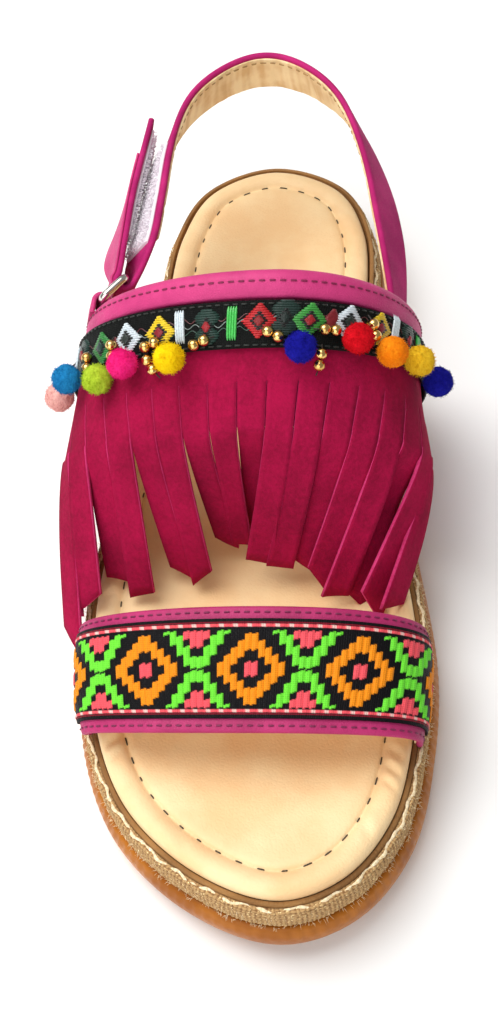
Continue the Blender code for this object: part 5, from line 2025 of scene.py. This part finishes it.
            pile = tubes(lines, np.array([[0.06, 0.07, 0.07, 0.06, 0.0]]), out_way[:, None], 3, dye)
            pile.chart = np.zeros((len(pile.points), 2))
            surface = Surface.joined([base, pile])
            self.frame.piece(f"fastening_{node}", surface, [Finish.PILE], Slot.HOOKS, [node], 60.0)

    def ring(self) -> None:
        """Ring: a round wire carried along a rectangle with rounded corners."""
        front, down, heading = self.ring_frame()
        forward = -heading
        centre = front + heading * self.ring_width / 2
        corner, parts = self.ring_corner, []
        for along, ahead, start in ((1, 1, 0), (-1, 1, 90), (-1, -1, 180), (1, -1, 270)):
            angle = np.radians(start + np.linspace(0.0, 90.0, 9))[:, None]
            middle = (centre + down * along * (self.ring_length / 2 - corner)
                      + forward * ahead * (self.ring_width / 2 - corner))
            parts.append(middle + corner * (down * np.cos(angle) + forward * np.sin(angle)))
        path = np.vstack(parts)
        path = evenly(np.vstack([path, path[:1]]), 96)
        run = unit(np.roll(path[:-1], -1, axis=0) - np.roll(path[:-1], 1, axis=0))
        run = np.vstack([run, run[:1]])
        normal = np.cross(down, forward)
        side = unit(np.cross(run, normal))
        turn = np.linspace(0.0, TAU, 21)[None, :, None]
        points = path[:, None] + self.wire / 2 * (side[:, None] * np.cos(turn) + normal * np.sin(turn))
        points[:, -1], points[-1] = points[:, 0], points[0]
        self.frame.piece("steel_ring", grid_surface(points), [Finish.STEEL], Slot.STEEL, ["ring"], 80.0)

    def tab(self) -> None:
        """Tab: a flat section carried from the binding round the ring's front bar and back."""
        bar, down, _ = self.ring_frame()
        forward = self.instep.at(self.ring_place, -0.3, self.ring_stand) - bar
        forward = forward - down * np.dot(forward, down)
        leg = float(np.linalg.norm(forward)) + 0.4
        forward = unit(forward)
        normal = np.cross(down, forward)
        radius = self.wire / 2 + 0.3 + self.tab_thickness / 2
        turn = np.linspace(-math.pi / 2, math.pi / 2, 25)
        flat = np.vstack([[(-leg, -radius), (-leg / 2, -radius)],
                          np.column_stack([radius * np.cos(turn), radius * np.sin(turn)]),
                          [(-leg / 2, radius), (-leg, radius)]])
        run = unit(np.gradient(flat, axis=0))
        across, out = slab_loop(-self.tab_width / 2, self.tab_width / 2, -self.tab_thickness / 2,
                                self.tab_thickness / 2, 12)
        away = np.column_stack([run[:, 1], -run[:, 0]])
        back = flat[:, None, 0] + away[:, None, 0] * out[None]
        lift = flat[:, None, 1] + away[:, None, 1] * out[None]
        points = bar - forward * back[..., None] + normal * lift[..., None] + down * across[None, :, None]
        self.frame.piece("ring_tab_leather", swept(points), [Finish.PINK], Slot.PINK, ["ring_tab"], 60.0)


# Camera, light and floor

@dataclass
class Studio:
    """Camera at the photograph's angle, soft light and a pale floor."""

    frame: Frame
    eye: tuple[float, float, float] = (32.9, -223.63, 361.48)
    heading: tuple[float, float] = (0.0187, 1.0)
    pitch: float = 50.0
    photo_focal: float = 788.0
    photo_middle: tuple[float, float] = (249.0, 512.0)
    shoe_middle: tuple[float, float] = (170.5, 618.5)
    lens: float = 62.0

    def build(self) -> None:
        """Makes the camera, the lights, the world and the floor."""
        self.camera()
        self.lights()
        self.floor()

    def camera(self) -> None:
        """The camera stands where the photograph's did, turned by the least angle that centres the sandal."""
        level = unit(np.array([*self.heading, 0.0]))
        tilt = math.radians(self.pitch)
        ahead = level * math.cos(tilt) - UP * math.sin(tilt)
        right = unit(np.cross(ahead, UP))
        up = np.cross(right, ahead)
        aim = (ahead + right * (self.shoe_middle[0] - self.photo_middle[0]) / self.photo_focal
               + up * (self.photo_middle[1] - self.shoe_middle[1]) / self.photo_focal)
        turn = Vector(ahead).rotation_difference(Vector(unit(aim)))
        pose = Matrix([right, up, -ahead]).transposed()
        camera = bpy.data.cameras.new("photo_camera")
        camera.lens = self.lens
        camera.clip_start, camera.clip_end = 0.01, 20.0
        made = bpy.data.objects.new("photo_camera", camera)
        made.location = self.frame.place(np.array(self.eye)).tolist()
        made.rotation_mode = "QUATERNION"
        made.rotation_quaternion = turn @ pose.to_quaternion()
        bpy.context.scene.collection.objects.link(made)
        bpy.context.scene.camera = made

    def lights(self) -> None:
        """A large key from the left, a top softbox, a low fill and a pale world."""
        world = bpy.data.worlds.new("studio_world")
        world.use_nodes = True
        world.node_tree.nodes["Background"].inputs["Color"].default_value = (1.0, 0.99, 0.98, 1.0)
        world.node_tree.nodes["Background"].inputs["Strength"].default_value = 0.3
        bpy.context.scene.world = world
        bpy.context.scene.view_settings.view_transform = "Standard"
        for name, place, size, power in (("key", (-0.4, 0.15, 0.92), 0.8, 6.3),
                                         ("top", (-0.25, 0.2, 0.95), 1.0, 4.2),
                                         ("fill", (-0.3, -0.85, 0.5), 1.2, 6.6)):
            light = bpy.data.lights.new(f"{name}_light", "AREA")
            light.shape = "DISK"
            light.size = size
            light.energy = power
            made = bpy.data.objects.new(f"{name}_light", light)
            made.location = place
            made.rotation_mode = "QUATERNION"
            made.rotation_quaternion = (Vector((0.0, 0.0, 0.03)) - Vector(place)).to_track_quat("-Z", "Y")
            bpy.context.scene.collection.objects.link(made)

    def floor(self) -> None:
        """A wide pale floor just under the sole."""
        reach = 3.0
        mesh = bpy.data.meshes.new("studio_floor")
        corners = [(-reach, -reach, 0.0), (reach, -reach, 0.0), (reach, reach, 0.0), (-reach, reach, 0.0)]
        mesh.from_pydata(corners, [], [(0, 1, 2, 3)])
        mesh.materials.append(Finish.FLOOR.material())
        floor = bpy.data.objects.new("studio_floor", mesh)
        bpy.context.scene.collection.objects.link(floor)
        floor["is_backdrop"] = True


def load_frame() -> tuple[Frame, list[list[float]]]:
    """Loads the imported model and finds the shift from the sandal's own frame by the insole's box.

    Returns:
        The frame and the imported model's box.
    """
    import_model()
    box = [list(corner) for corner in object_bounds()]
    low, high = (np.array(corner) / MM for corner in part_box("insole"))
    edge = SoleForm().edge(30)
    middle = (edge.min(axis=0) + edge.max(axis=0)) / 2
    shift = np.array([*((low + high)[:2] / 2 - middle), 0.0])
    return Frame(shift), box


def main() -> None:
    """Builds every sub-assembly in order."""
    logging.basicConfig(level=logging.INFO, format="%(message)s")
    frame, cad_box = load_frame()
    LOG.info("shift %s", np.round(frame.shift, 3))
    Studio(frame).build()
    sole = Sole(frame)
    sole.build()
    ToeStrap(frame, sole.form).build()
    instep = InstepStrap(frame, sole.form)
    instep.build()
    HeelStrap(frame, sole.form, instep.form).build()


if __name__ == "__main__":
    main()
